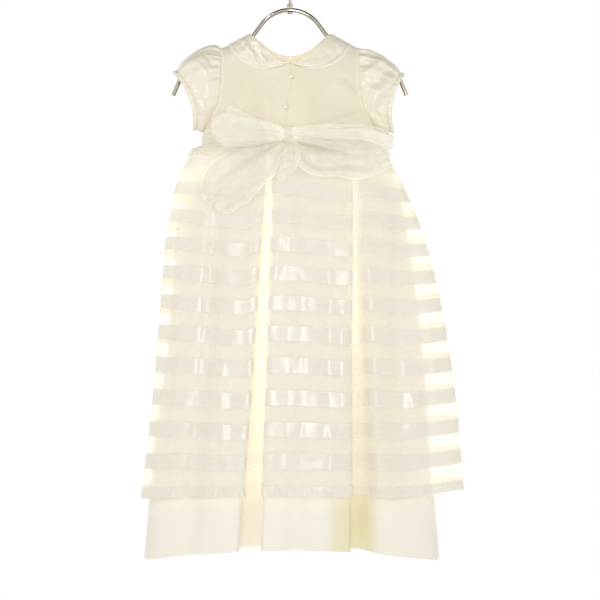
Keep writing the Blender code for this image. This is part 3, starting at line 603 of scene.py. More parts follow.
# Painted glow on the ribbon, in place of light through it: all over, more along its woven edges and near
# the knot.
RIBBON_GLOW = 0.1
RIBBON_WAVER = 0.07  # of its half-width, in and out along the edges
RIBBON_CRUMPLE = 1.7
RIBBON_CRUMPLE_SIZE = 30
SELVEDGE_GLOW = 0.16
SELVEDGE = (0.93, 0.04)  # where the woven edge starts across the ribbon, and how softly
KNOT_GLOW = 0.08
KNOT_GLOW_REACH = 24
LOOP_BELLY = 3
LOOP_NET = (44, 120)
LOOP_LENGTH = 240  # there and back
LOOP_WAVER_SIZE = 46
LOOP_PLEATS = (
    # height, spacing, seed, how fast they fade out from the knot
    (1.3, 8, 0, 1.2),
    (2.6, 13, 9, 0.8),
)
LOOP_HALF_WIDTH = 30  # of the flat ribbon, in which the pleats are counted
LOOP_CRUMPLE_PLAN = (26, 230)  # half-width and length in which the crumples are counted
LOOP_START = 0.1  # share of the way out from the knot in which the pleats rise
TAIL_HALF_WIDTH = 28
TAIL_LENGTH = 120
TAIL_WAVER_SIZE = 34
TAIL_WAVER_WIDTH = 20
TAIL_START = 0.06
TAIL_PLEATS = (1.2, 8, 0.45)  # height, spacing, share of the length in which they fade
TAIL_SPREAD = 0.3  # how far round the skirt a tail follows it, as the least squared depth
TAIL_LIFT = 2.6  # from the sash
TAIL_RIPPLE = 2.2
TAIL_WAVES = 2.6  # half waves across half its width
TAIL_OPEN = 25  # half-width from which the ripples and creases are full
TAIL_NET = (56, 76)
TAILS = {
    # rows of: x, height, half-width, clear of the skirt
    "bow_tail_fold": (
        (-2, -264, 5, 1.3),
        (3, -276, 9.5, 5),
        (3, -288, 12.5, 7.5),
        (-3, -302, 10.5, 7),
        (-14, -321, 3, 6),
    ),
    "bow_tail_left": (
        (-8, -268, 7.5, 1.3),
        (-19, -277, 13, 2.5),
        (-36, -289, 27, 3.6),
        (-60, -306, 35, 4),
        (-84, -326, 37, 5),
        (-96, -346, 29, 5),
        (-104, -358, 16, 5),
    ),
    "bow_tail_right": (
        (6, -263, 8, 1.3),
        (17, -271, 16, 2.5),
        (33, -284, 28, 3.6),
        (60, -287, 29.5, 5),
        (98, -287, 30, 12),
        (136, -281, 22, 19),
    ),
}

# ---- hanger --------------------------------------------------------------------------------
TUBE_RADIUS = 3
TUBE_SIDES = 32
TUBE_CORNERS = (
    # x, height, radius of the bend
    (-163.5, -199, 0),
    (-152, -171.5, 12),
    (-56.3, -121.5, 18),
    (0, -46.5, 49),
)

# ---- finishes ------------------------------------------------------------------------------
# Length and thickness of the threads and the size of the drifts as they are drawn.
SATIN_SLUB = (26, 1.5)
ORGANZA_SLUB = (40, 1.6)
ORGANZA_DRIFT = (34, 30)
RIBBON_CLOUD = (24, 16)
PEARL_CLOUDS = 500  # to the metre, so 2 mm each
RUB_MARKS = 90  # to the metre, so about a centimetre each
HEM_STRIPE = 14.5  # what is left of the stripe that the hem is turned up through
STRIPE_EDGE = 0.4  # half the width of a stripe's soft edge
SATIN_COVER = 0.8  # how much a satin stripe hides what is behind it
SATIN_ROUGHNESS = 0.25
SHEER_ROUGHNESS = 0.6
THREAD_RELIEF = 0.3
SATIN_BUMP = 0.06  # how much of the threads' relief is drawn
ORGANZA_BUMP = 0.15
SHEER_DRIFT = 0.06  # how much closer the weave is in places
RIBBON_COVER = (0.35, 0.44)
STEEL_ROUGHNESS = (0.06, 0.1)
STREAK_SPAN = {1: 0.25, 2: 0.75}  # between these values a pattern goes from one end to the other
CLOUD_SPAN = {1: 0.3, 2: 0.7}

# ---- stage ---------------------------------------------------------------------------------
CAMERA_AIM = (14, 0, -485)
CAMERA_DISTANCE = 2300
FRAME_WIDTH = 840  # what the picture takes in at the aim
SENSOR = 36
FLOOR_Z = -1600
FLOOR_RADIUS = 3400
FLOOR_GLOW = 0.2
CEILING = {1: 0.55, 2: 0.7, 3: 1, 4: 0.05}  # between these heights it goes from white to dark
LIGHTS = {
    # place in metres, width and height, watts
    "key": ((-0.14, -2.36, -0.4), (0.26, 0.6), 6.6),
    "high": ((-0.9, -1.6, 1.4), (0.32, 0.32), 6.2),
    "fill": ((1.6, -1.8, 0), (1.2, 1.2), 1.6),
    "behind": ((0.3, 1.8, -0.2), (1.4, 1.4), 8),
}


# ============================================================================================
# Helpers
# ============================================================================================


def linear(code):
    """An sRGB hex colour as linear RGB."""
    parts = [int(code[i : i + 2], 16) / 255 for i in (0, 2, 4)]
    return tuple(c / 12.92 if c <= 0.04045 else ((c + 0.055) / 1.055) ** 2.4 for c in parts)


def paint(code):
    """An sRGB hex colour as linear RGB with full alpha."""
    return (*linear(code), 1)


def curve_between(t, start, leave, end, arrive):
    """Places at shares t on a smooth curve between two places, with its slopes at both."""
    return (
        (2 * t**3 - 3 * t**2 + 1) * start
        + (t**3 - 2 * t**2 + t) * leave
        + (3 * t**2 - 2 * t**3) * end
        + (t**3 - t**2) * arrive
    )


def smooth_at(table, key, column):
    """A column of a table read at key, along a smooth curve through the rows."""
    xs = np.array([row[0] for row in table], float)
    ys = np.array([row[column] for row in table], float)
    if xs[0] > xs[-1]:
        xs, ys = xs[::-1], ys[::-1]
    key = np.clip(np.asarray(key, float), xs[0], xs[-1])
    steps = np.diff(ys) / np.diff(xs)
    slopes = np.concatenate([steps[:1], (steps[:-1] + steps[1:]) / 2, steps[-1:]])
    flat = np.concatenate([[False], steps[:-1] * steps[1:] <= 0, [False]])
    slopes[flat] = 0
    i = np.clip(np.searchsorted(xs, key) - 1, 0, len(xs) - 2)
    span = xs[i + 1] - xs[i]
    return curve_between((key - xs[i]) / span, ys[i], span * slopes[i], ys[i + 1], span * slopes[i + 1])


def unit(vectors):
    return vectors / np.maximum(np.linalg.norm(vectors, axis=-1, keepdims=True), 1e-9)


def grid_normals(grid, wrap=False):
    """Outward unit normals of a grid whose column direction x row direction points outwards."""
    if wrap:
        padded = np.concatenate([grid[:, -1:], grid, grid[:, :1]], axis=1)
        across = padded[:, 2:] - padded[:, :-2]
    else:
        across = np.gradient(grid, axis=1)
    return unit(np.cross(across, np.gradient(grid, axis=0)))


def read_between(points, places):
    """Points read at fractional places of the first axis, on smooth curves that pass through them."""
    chords = np.maximum(np.linalg.norm(np.diff(points, axis=0), axis=-1, keepdims=True), 1e-6)
    rates = np.diff(points, axis=0) / chords
    middle = (rates[:-1] * chords[1:] + rates[1:] * chords[:-1]) / (chords[:-1] + chords[1:])
    slopes = np.concatenate([rates[:1], middle, rates[-1:]])
    i = np.clip(places.astype(int), 0, len(points) - 2)
    t = (places - i)[:, None, None]
    return curve_between(t, points[i], chords[i] * slopes[i], points[i + 1], chords[i] * slopes[i + 1])


def run_lengths(points, axis=0):
    """How far each point is along its line of points, which runs along that axis."""
    steps = np.linalg.norm(np.diff(points, axis=axis), axis=-1)
    start = np.zeros_like(np.take(steps, [0], axis))
    return np.cumsum(np.concatenate([start, steps], axis=axis), axis=axis)


def even_places(line, count):
    """Fractional places along a line of points that split its length evenly."""
    along = run_lengths(line)
    return np.interp(np.linspace(0, along[-1], count), along, np.arange(len(line)))


def crease_height(x, z, creases):
    """How high the creases of a table stand at each point."""
    height = np.zeros_like(x)
    for x0, z0, x1, z1, bow, half, rise in creases:
        run = math.hypot(x1 - x0, z1 - z0)
        ax, az = (x1 - x0) / run, (z1 - z0) / run
        along = ((x - x0) * ax + (z - z0) * az) / run
        ends = np.sin(np.pi * np.clip(along, 0, 1)) ** CREASE_TAPER
        across = (z - z0) * ax - (x - x0) * az - bow * 4 * along * (1 - along)
        width = half * (CREASE_END_WIDTH + (1 - CREASE_END_WIDTH) * ends)
        height += rise * ends * np.exp(-((across / width) ** 2))
    return height


def wander(u, v, size, seed):
    """A gentle unevenness between about -1 and 1, in waves of roughly that size."""
    dice = np.random.default_rng(seed)
    total = np.zeros(np.broadcast(u, v).shape)
    for _ in range(WANDER_WAVES):
        angle, start, turn = dice.uniform(0, 2 * math.pi, 3)
        wave = 2 * math.pi / (size * dice.uniform(*WANDER_SIZES))
        bend = 1.1 * np.sin((v * math.cos(angle) - u * math.sin(angle)) * wave * 0.6 + turn)
        total = total + np.sin((u * math.cos(angle) + v * math.sin(angle)) * wave + start + bend)
    return total / 3


def ripples(along, spacing, seed):
    """Uneven ridges along a line: heights between about -1 and 1 at roughly that spacing."""
    dice = np.random.default_rng(seed)
    count = max(4, int(np.ptp(along) / spacing) + 2)
    marks = np.cumsum(dice.uniform(*RIPPLE_SPACINGS, count + 1)) * spacing + along.min() - spacing
    heights = np.where(np.arange(count + 1) % 2, 1, -1) * dice.uniform(*RIPPLE_HEIGHTS, count + 1)
    i = np.clip(np.searchsorted(marks, along) - 1, 0, count - 1)
    t = np.clip((along - marks[i]) / (marks[i + 1] - marks[i]), 0, 1)
    return heights[i] + (heights[i + 1] - heights[i]) * (t * t * (3 - 2 * t))


def raised(grid, height, wrap=False):
    return grid + grid_normals(grid, wrap) * np.asarray(height)[..., None]


def shell_net(rows, columns, wrap):
    """Faces of a closed shell between an outer and an inner grid of points, and the row and column of
    each corner. A ring's last faces end in a column of their own, one past the grid's last."""
    spans = columns if wrap else columns - 1
    row, column = (index.ravel() for index in np.indices((rows - 1, spans)))
    along, up = np.arange(spans), np.arange(rows - 1)
    top, end = rows - 1, columns - 1
    square = ((row, column), (row, column + 1), (row + 1, column + 1), (row + 1, column))
    # A corner is a row, a column and a layer, which is 0 outside and 1 inside.
    strips = [
        [(*corner, 0) for corner in square],
        [(*corner, 1) for corner in square[::-1]],
        [(0, along + 1, 0), (0, along, 0), (0, along, 1), (0, along + 1, 1)],
        [(top, along, 0), (top, along + 1, 0), (top, along + 1, 1), (top, along, 1)],
    ]
    if not wrap:
        strips.append([(up, 0, 0), (up + 1, 0, 0), (up + 1, 0, 1), (up, 0, 1)])
        strips.append([(up + 1, end, 0), (up, end, 0), (up, end, 1), (up + 1, end, 1)])
    faces = [[np.stack(np.broadcast_arrays(*corner), -1) for corner in strip] for strip in strips]
    corners = np.concatenate([np.stack(face, 1) for face in faces])
    row, column, layer = np.moveaxis(corners, -1, 0)
    return (layer * rows + row) * columns + column % columns, corners[..., :2]


def cloth_measure(grid, rise, wrap):
    """How far each point of a grid is along the cloth, across it and up it."""
    across = run_lengths(np.concatenate([grid, grid[:, :1]], axis=1) if wrap else grid, 1)
    across = np.broadcast_to(across.mean(axis=0) if wrap else across.max(axis=0), across.shape)
    if rise is None:
        rise = run_lengths(grid)
    return across, (np.concatenate([rise, rise[:, :1]], axis=1) if wrap else rise)


def cloth(name, grid, thickness, material, slot, wrap=False, rise=None, glow=0, inner_glow=None, **shares):
    """A closed thin shell on a grid of points, with a UV map that is measured along the cloth. Glow, which
    is painted light, and each other share become attributes of the points, which the materials read."""
    inner = grid - grid_normals(grid, wrap) * thickness
    points = np.concatenate([grid.reshape(-1, 3), inner.reshape(-1, 3)]) * MM
    faces, places = shell_net(*grid.shape[:2], wrap)
    mesh = bpy.data.meshes.new(name)
    mesh.from_pydata(points.tolist(), [], faces.tolist())
    measures = cloth_measure(grid, rise, wrap)
    chart = np.stack([measure[places[..., 0], places[..., 1]] for measure in measures], -1) * MM
    mesh.uv_layers.new(name="cloth").data.foreach_set("uv", chart.reshape(-1).astype(np.float32))
    layers = {"glow": (glow, glow if inner_glow is None else inner_glow)}
    layers.update({key: (share, share) for key, share in shares.items()})
    for key, pair in layers.items():
        values = np.concatenate([np.broadcast_to(share, grid.shape[:2]).ravel() for share in pair])
        mesh.attributes.new(key, "FLOAT", "POINT").data.foreach_set("value", values.astype(np.float32))
    mesh.shade_smooth()
    mesh.set_sharp_from_angle(angle=SHARP_ANGLE)
    obj = piece(f"{name}_cloth", mesh, material)
    sew_on(obj, name)
    return obj


def piece(name, data, material):
    obj = bpy.data.objects.new(name, data)
    bpy.context.scene.collection.objects.link(obj)
    data.materials.append(material)
    return obj


def sew_on(obj, node):
    """The piece moves with the gown and stands for a CAD node, if the node is there."""
    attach(obj, BODY)
    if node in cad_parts:
        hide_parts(node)


def settings():
    return bpy.context.scene.gown


# ============================================================================================
# Materials
# ============================================================================================


def add(tree, kind, inputs=None, out=0, **options):
    """Adds one node with its options, and with values or links on its inputs. Gives one output."""
    made = tree.nodes.new(f"ShaderNode{kind}")
    for key, value in options.items():
        setattr(made, key, value)
    for key, value in (inputs or {}).items():
        if isinstance(value, bpy.types.NodeSocket):
            tree.links.new(value, made.inputs[key])
        else:
            made.inputs[key].default_value = value
    return made.outputs[out]


def new_material(name, **values):
    """A material with its shader's constant values set, its tree and its shader."""
    made = bpy.data.materials.new(name)
    made.use_nodes = True
    shader = made.node_tree.nodes["Principled BSDF"]
    for key, value in values.items():
        shader.inputs[key.replace("_", " ")].default_value = value
    return made, made.node_tree, shader


def link_shader(tree, shader, **outputs):
    """Links outputs of nodes to the shader's inputs of those names."""
    for key, output in outputs.items():
        tree.links.new(output, shader.inputs[key.replace("_", " ")])


def cloth_chart(tree, across, along):
    """The cloth's own coordinates, counted in lengths of across and along in millimetres."""
    chart = add(tree, "UVMap", uv_map="cloth")
    return add(tree, "Mapping", {"Vector": chart, "Scale": (1 / (across * MM), 1 / (along * MM), 1)})


def paint_glow(tree, shader, extra=None):
    """Thin pale cloth with a painted glow: an emission that stands in for light coming through it,
    most of all in its folds. The attribute says how much glow is painted at each point."""
    share = add(tree, "Attribute", out="Fac", attribute_name="glow")
    if extra:
        share = add(tree, "Math", {0: share, 1: extra}, operation="ADD")
    glow = add(tree, "Mix", {0: share, 6: (0, 0, 0, 1), 7: paint(PAINTED_GLOW_COLOUR)}, 2, data_type="RGBA")
    link_shader(tree, shader, Emission_Color=glow)
    shader.inputs["Emission Strength"].default_value = 1


def with_painted_shade(tree, tint):
    """The cloth's colour with painted shade: yellower and darker where the attribute says shade falls in a
    pleat.
    """
    share = add(tree, "Attribute", out="Fac", attribute_name="doubled")
    return add(tree, "Mix", {0: share, 6: tint, 7: paint(PAINTED_SHADE_COLOUR)}, 2, data_type="RGBA")


def clouded(tree, chart, scale, shades):
    """A cloudy pattern, and a colour that drifts between two shades with it."""
    cloud = add(tree, "TexNoise", {"Vector": chart, "Scale": scale, "Detail": 2})
    return cloud, add(tree, "Mix", {0: cloud, 6: shades[0], 7: shades[1]}, 2, data_type="RGBA")


def woven_satin(name, colour, shade, roughness, gleam=0.5):
    """Polyester satin, woven with a silk-like face. The long floats of its weft give a soft broad
    gleam, and the thicker threads show as faint streaks across the cloth."""
    made, tree, shader = new_material(name, Roughness=roughness, Specular_IOR_Level=gleam)
    paint_glow(tree, shader)
    # Slubs are 0.6 mm thick and 20 mm long. They are drawn thicker and longer so that they show.
    streaks = add(tree, "TexNoise", {"Vector": cloth_chart(tree, *SATIN_SLUB), "Scale": 1, "Detail": 2})
    share = add(tree, "MapRange", {0: streaks, **STREAK_SPAN})
    tint = add(tree, "Mix", {0: share, 6: paint(shade), 7: (*colour, 1)}, 2, data_type="RGBA")
    bump = add(tree, "Bump", {"Strength": SATIN_BUMP, "Distance": THREAD_RELIEF * MM, "Height": streaks})
    # The base colour gets painted shade where the attribute asks for it.
    link_shader(tree, shader, Base_Color=with_painted_shade(tree, tint), Normal=bump)
    return made


def satin_share(tree, pitch, width):
    """1 on a satin stripe and 0 on the sheer cloth, by the distance from the hem along the cloth."""
    rise = add(tree, "SeparateXYZ", {0: add(tree, "UVMap", uv_map="cloth")}, 1)
    offset = add(tree, "Math", {0: rise, 1: width - HEM_STRIPE * MM}, operation="ADD")
    place = add(tree, "Math", {0: offset, 1: pitch}, operation="MODULO")
    middle = add(tree, "Math", {0: place, 1: width / 2}, operation="SUBTRACT")
    away = add(tree, "Math", {0: middle}, operation="ABSOLUTE")
    inner, outer = width / 2 - STRIPE_EDGE * MM, width / 2 + STRIPE_EDGE * MM
    ends = {1: inner, 2: outer, 3: 1, 4: 0}
    return add(tree, "MapRange", {0: away, **ends}, interpolation_type="SMOOTHSTEP")


def striped_organza():
    """Sheer organza with woven satin stripes: the satin floats are close and gleam, and between them
    the stiff plain weave is open enough to see through."""
    gown = settings()
    made, tree, shader = new_material("striped organza", Roughness=0.5, Specular_IOR_Level=0.75)
    satin = satin_share(tree, gown.stripe_pitch, gown.stripe_width)
    # Threads are about 0.2 mm apart. They are drawn as streaks that are coarse enough to show.
    streaks = add(tree, "TexNoise", {"Vector": cloth_chart(tree, *ORGANZA_SLUB), "Scale": 1, "Detail": 3})
    drifts = add(tree, "TexNoise", {"Vector": cloth_chart(tree, *ORGANZA_DRIFT), "Scale": 1, "Detail": 2})
    floats = add(
        tree, "Mix", {0: streaks, 6: paint("EAE4D6"), 7: (*gown.satin_stripe, 1)}, 2, data_type="RGBA"
    )
    tint = add(tree, "Mix", {0: satin, 6: (*gown.organza, 1), 7: floats}, 2, data_type="RGBA")
    # The shell has two faces, which together hide as much as the cloth does.
    cover = add(tree, "MapRange", {0: satin, 3: 1 - math.sqrt(1 - gown.sheer_cover), 4: SATIN_COVER})
    # Painted glow at the overskirt's sides, mostly kept off the satin stripes.
    side_glow_share = add(tree, "Attribute", out="Fac", attribute_name="open")
    sheer = add(tree, "MapRange", {0: satin, 3: 1, 4: SATIN_GLOW})
    paint_glow(tree, shader, add(tree, "Math", {0: side_glow_share, 1: sheer}, operation="MULTIPLY"))
    veil = add(tree, "Math", {0: drifts, 1: SHEER_DRIFT, 2: cover}, operation="MULTIPLY_ADD")
    rough = add(tree, "MapRange", {0: satin, 3: SHEER_ROUGHNESS, 4: SATIN_ROUGHNESS})
    bump = add(tree, "Bump", {"Strength": ORGANZA_BUMP, "Distance": THREAD_RELIEF * MM, "Height": streaks})
    # The base colour gets painted shade in the pleat.
    colour = with_painted_shade(tree, tint)
    link_shader(tree, shader, Base_Color=colour, Alpha=veil, Roughness=rough, Normal=bump)
    return made


def ribbon_organza():
    """Wide organza ribbon, woven close and softly crushed. One layer is a veil, and where layers lie
    on each other they look whiter."""
    made, tree, shader = new_material("ribbon organza", Roughness=0.36)
    paint_glow(tree, shader)
    shades = (paint("EFEBE0"), (*settings().ribbon, 1))
    clouds, tint = clouded(tree, cloth_chart(tree, *RIBBON_CLOUD), 1, shades)
    veil = add(tree, "MapRange", {0: clouds, **CLOUD_SPAN, 3: RIBBON_COVER[0], 4: RIBBON_COVER[1]})
    link_shader(tree, shader, Base_Color=tint, Alpha=veil)
    return made


def pearl():
    """Moulded plastic with a pearl lacquer, which gives a small soft highlight under a clear one."""
    made, tree, shader = new_material(
        "pearl lacquered button", Roughness=0.3, Coat_Weight=0.6, Coat_Roughness=0.12
    )
    chart = add(tree, "TexCoord", out="Object")
    _, tint = clouded(tree, chart, PEARL_CLOUDS, (paint("E9DFC6"), paint("FBF6E8")))
    link_shader(tree, shader, Base_Color=tint)
    return made


def plated_steel():
    """Drawn steel tube and wire with a polished nickel plating, which mirrors the room in long lines."""
    made, tree, shader = new_material("nickel-plated steel", Metallic=1)
    chart = add(tree, "TexCoord", out="Object")
    rubs, tint = clouded(tree, chart, RUB_MARKS, (paint("ADA698"), paint("C6C0B2")))
    rough = add(tree, "MapRange", {0: rubs, **CLOUD_SPAN, 3: STEEL_ROUGHNESS[0], 4: STEEL_ROUGHNESS[1]})
    link_shader(tree, shader, Base_Color=tint, Roughness=rough)
    return made


def skin(name):
    """A material of the gown, made the first time that a piece asks for it."""
    gown = settings()
    makers = {
        "bodice satin": lambda: woven_satin(name, gown.satin, "E9E2CC", 0.36),
        "collar satin": lambda: woven_satin(name, gown.collar_satin, "EDE6D0", 0.27, 0.9),
        "underskirt taffeta": lambda: woven_satin(name, gown.taffeta, "F0EADB", 0.45),
        "striped organza": striped_organza,
        "ribbon organza": ribbon_organza,
        "pearl lacquered button": pearl,
        "nickel-plated steel": plated_steel,
    }
    return bpy.data.materials.get(name) or makers[name]()


# ============================================================================================
# Bodice
# ============================================================================================


def ridge_z(x):
    """Height of the shoulder seam, carried on level across the neck."""
    return smooth_at(SHOULDER_LINE, np.abs(x), 1)


def neckline_z(x, side):
    """Height of the bodice's top edge: the neckline, then the shoulder seam."""
    foot = NECK_FRONT_Z if side == "front" else NECK_BACK_Z
    share = np.minimum(np.abs(x) / NECK_HALF_WIDTH, 1)
    point = ridge_z(np.array(NECK_HALF_WIDTH))
    return np.where(share < 1, foot + (point - foot) * smooth_at(NECKLINE, share, 1), ridge_z(x))


def bodice_depth(x, z):
    """Distance of the outer cloth from the plane of the side seams."""
    below = np.clip((ridge_z(x) - z) / SHOULDER_ROUND, 0, 1)
    half = np.where(np.asarray(z) < UNDERARM_Z, smooth_at(BODICE_SIDE, z, 1), CHEST_HALF_WIDTH)
    across = np.clip(1 - (np.abs(x) / half) ** 2, 0, 1)
    return SEAM_GAP / 2 + CHEST_DEPTH * np.sqrt(below * (2 - below)) * np.sqrt(across)


def bodice_points(x, z, side):
    return np.stack([x, OUT[side] * bodice_depth(x, z), z + 0 * x], axis=-1)


def bodice_normals(x, z, side, step=0.25):
    """Outward normals of the bodice, from small differences."""
    down = bodice_depth(x, z - step)
    across = (bodice_depth(x + step, z - step) - bodice_depth(x - step, z - step)) / (2 * step)
    rise = (bodice_depth(x, z - 2 * step) - down) / step
    return unit(np.stack([-across, OUT[side] * np.ones_like(down), rise], axis=-1))


def bodice_grid(side, direction):
    """Points of one front (direction -1 or 1) or of the whole back (direction 0)."""
    shares = np.linspace(0, 1, BODICE_COLUMNS) ** BODICE_CROWDING
    if direction == 0:
        shares = np.concatenate([-shares[:0:-1], shares])
    elif direction < 0:
        shares = -shares[::-1]
    rises = np.sin(np.linspace(0, 1, BODICE_ROWS) * math.pi / 2) ** BODICE_CROWDING
    grid = np.zeros((len(rises), len(shares), 3))
    for row, up in enumerate(rises):
        edge_z = WAIST_Z + up * (SHOULDER_LINE[-1][1] - WAIST_Z)
        x = shares * smooth_at(BODICE_SIDE, edge_z, 1)
        foot = WAIST_Z + (neckline_z(shares * SHOULDER_HALF_WIDTH, side) - WAIST_Z) * up
        if direction:
            lap = np.where((shares == 0) & (direction > 0), PLACKET_LAP, 0)
            x = x + smooth_at(OPENING_LINE, foot, 1) * (1 - np.abs(shares)) ** 3 - lap
        grid[row] = bodice_points(x, foot, side)
    return grid if side == "front" else grid[:, ::-1]


def bodice_edge_fade(grid):
    """1 inside a bodice panel and 0 along its outline, where it is sewn."""
    fades = []
    for count, reach in zip(grid.shape[:2], BODICE_EDGE_FADE):
        place = np.arange(count)
        fades.append(np.clip(np.minimum(place, count - 1 - place) / reach, 0, 1))
    return fades[0][:, None] * fades[1]


def bodice_panel(name, side, direction):
    """One front (direction -1 or 1) or the back (direction 0), with its creases and seam edges."""
    grid = bodice_grid(side, direction)
    x, z = grid[..., 0], grid[..., 2]
    creases = BODICE_FRONT_CREASES if side == "front" else BODICE_BACK_CREASES
    height = BODICE_CREASING * crease_height(x, z, creases)
    for rise, size, seed in BODICE_WANDER:
        height = height + rise * wander(x, z, size, seed)
    height = height * bodice_edge_fade(grid)
    if direction < 0:
        inward = smooth_at(OPENING_LINE, z, 1) - x
        height = height + PLACKET_RISE / (1 + np.exp((inward - PLACKET_WIDTH) * PLACKET_EDGE))
    elif direction > 0:
        height[:, 0] = -SEAM_TUCK
    ends = np.zeros(grid.shape[1])
    if direction <= 0:
        ends[:4] = SEAM_RIDGE_COLUMNS[::-1]
    if direction >= 0:
        ends[-4:] = SEAM_RIDGE_COLUMNS
    ridge = ends * np.clip((z - UNDERARM_Z) / SEAM_RIDGE_FADE, 0, 1)
    # The seam ridge and the inner sides get a painted glow, and the front's bands a painted shade.
    return cloth(
        name, raised(grid, height + SEAM_RIDGE * ridge), settings().satin_thickness / MM,
        skin("bodice satin"), "bodice_satin", glow=SEAM_GLOW * ridge, inner_glow=INSIDE_GLOW,
        doubled=crease_height(x, z, BODICE_PAINTED_SHADE) * (side == "front"),
    )


# ============================================================================================
# Sleeves
# ============================================================================================


def armhole_ring(side):
    """Points of one armhole, from the underarm up the front, over the shoulder and down the back."""
    front = bodice_grid("front", -1 if side == "left" else 1)[:, 0 if side == "left" else -1]
    back = bodice_grid("back", 0)[:, -1 if side == "left" else 0]
    ring = []
    for edge in (front, back):
        edge = edge[edge[:, 2] >= UNDERARM_Z - UNDERARM_OVERLAP]
        places = even_places(edge, SLEEVE_COLUMNS // 2 + 1)
        ring.append(read_between(edge[:, None], places)[:, 0])
    return np.concatenate([ring[0][:-1], ring[1][:0:-1]])


def cuff_ring(side):
    """Points of one cuff's upper edge, in the same order as the armhole's."""
    angle = 2 * np.pi * np.arange(SLEEVE_COLUMNS) / SLEEVE_COLUMNS
    up = (1 - np.cos(angle)) / 2
    (top_x, top_z), (foot_x, foot_z) = SLEEVES[side]["top"], SLEEVES[side]["foot"]
    way = 1 if side == "left" else -1
    x = foot_x + (top_x - foot_x) * up + way * CUFF_BOW * np.sin(angle) ** 2
    return np.stack([x, -CUFF_HALF_DEPTH * np.sin(angle), foot_z + (top_z - foot_z) * up], axis=-1)


def sleeve_grid(side):
    """Points of one sleeve, in rows from the armhole to the cuff."""
    way = -1 if side == "left" else 1
    start = armhole_ring(side) - np.array([way * SLEEVE_TUCK, 0, 0])
    end = cuff_ring(side)
    angle = 2 * np.pi * np.arange(SLEEVE_COLUMNS) / SLEEVE_COLUMNS
    top = np.clip((1 - np.cos(angle)) / 2, 0, 1) ** 2
    outward = np.stack([np.zeros_like(angle), -np.sin(angle), -np.cos(angle)], axis=-1)
    grid = np.zeros((SLEEVE_ROWS, SLEEVE_COLUMNS, 3))
    for row in range(SLEEVE_ROWS):
        down = row / (SLEEVE_ROWS - 1)
        bulge = math.sin(math.pi * down) ** SLEEVE_PUFF_ROUNDNESS
        puff = (SLEEVE_PUFF + SLEEVES[side]["cap"] * top) * bulge
        grid[row] = start + (end - start) * down + outward * puff[:, None]
    return grid if side == "left" else grid[:, ::-1]


def sleeve(side, grid):
    """The satin of one sleeve, gathered at its head and at its opening."""
    seed = SLEEVES[side]["seed"]
    down = np.linspace(0, 1, SLEEVE_ROWS)[:, None]
    around = np.linspace(0, 1, SLEEVE_COLUMNS, endpoint=False)
    top = (0.5 - 0.5 * np.cos(2 * np.pi * around)) ** 1.5
    head = 0
    for k, (rise, spacing, fade) in enumerate(HEAD_GATHERS):
        gathers = ripples(around * ARMHOLE_LENGTH, spacing, seed + k) * top
        head = head + rise * gathers * np.exp(-down / fade)
    foot = ripples(around * OPENING_LENGTH, CUFF_GATHER_SPACING, seed + 2)
    foot = foot * np.exp(-(1 - down) / CUFF_GATHER_FADE)
    start, end = (np.clip(share / SLEEVE_EDGE_FADE, 0, 1) for share in (down, 1 - down))
    x, z = grid[..., 0], grid[..., 2]
    rise, size = SLEEVE_WANDER
    creases = crease_height(x, z, SLEEVE_CREASES[side]) + rise * wander(x, z, size, seed + 3)
    height = HEAD_GATHER * head * start + CUFF_GATHER * foot * end + creases * start * end
    height = height - SEAM_TUCK * np.clip(1 - down / SLEEVE_TUCK_FADE, 0, 1)
    thickness = settings().satin_thickness / MM
    form = raised(grid, height, True)
    return cloth(f"sleeve_{side}", form, thickness, skin("collar satin"), "bodice_satin", wrap=True)


def cuff(side, grid):
    """The narrow folded binding along the last row of a sleeve."""
    around = np.linspace(0, 1, SLEEVE_COLUMNS, endpoint=False)
    away = unit((grid[-1] - grid[0]).mean(axis=0) * np.array([1, 0, 1]))
    share = np.linspace(0, 1, CUFF_ROWS)[:, None]
    band = grid[-1] + away * (CUFF_BAND * share[..., None] - SEAM_GAP)
    belly = np.sin(np.pi * share)
    puckers = ripples(around * OPENING_LENGTH, CUFF_PUCKER_SPACING, SLEEVES[side]["seed"] + 4)
    form = raised(band, CUFF_ROLL * belly - CUFF_SINK + CUFF_PUCKER * puckers * belly, True)
    return cloth(f"cuff_{side}", form, BINDING_THICKNESS, skin("collar satin"), "bodice_satin", wrap=True)


# ============================================================================================
# Collar
# ============================================================================================


def collar_place(share, across):
    """x and z of a point of one half of the collar, and the side of the bodice that it lies on."""
    side = "front" if share <= 1 else "back"
    neck_x = NECK_HALF_WIDTH * (share if share <= 1 else 2 - share)
    neck_z = float(neckline_z(np.array(neck_x), side))
    edge_x = float(smooth_at(COLLAR_EDGE, share, 1))
    edge_z = float(smooth_at(COLLAR_EDGE, share, 2))
    x, z = neck_x + (edge_x - neck_x) * across, neck_z + (edge_z - neck_z) * across
    return max(x, SEAM_GAP / 2 if share <= 1 else 0), z, side


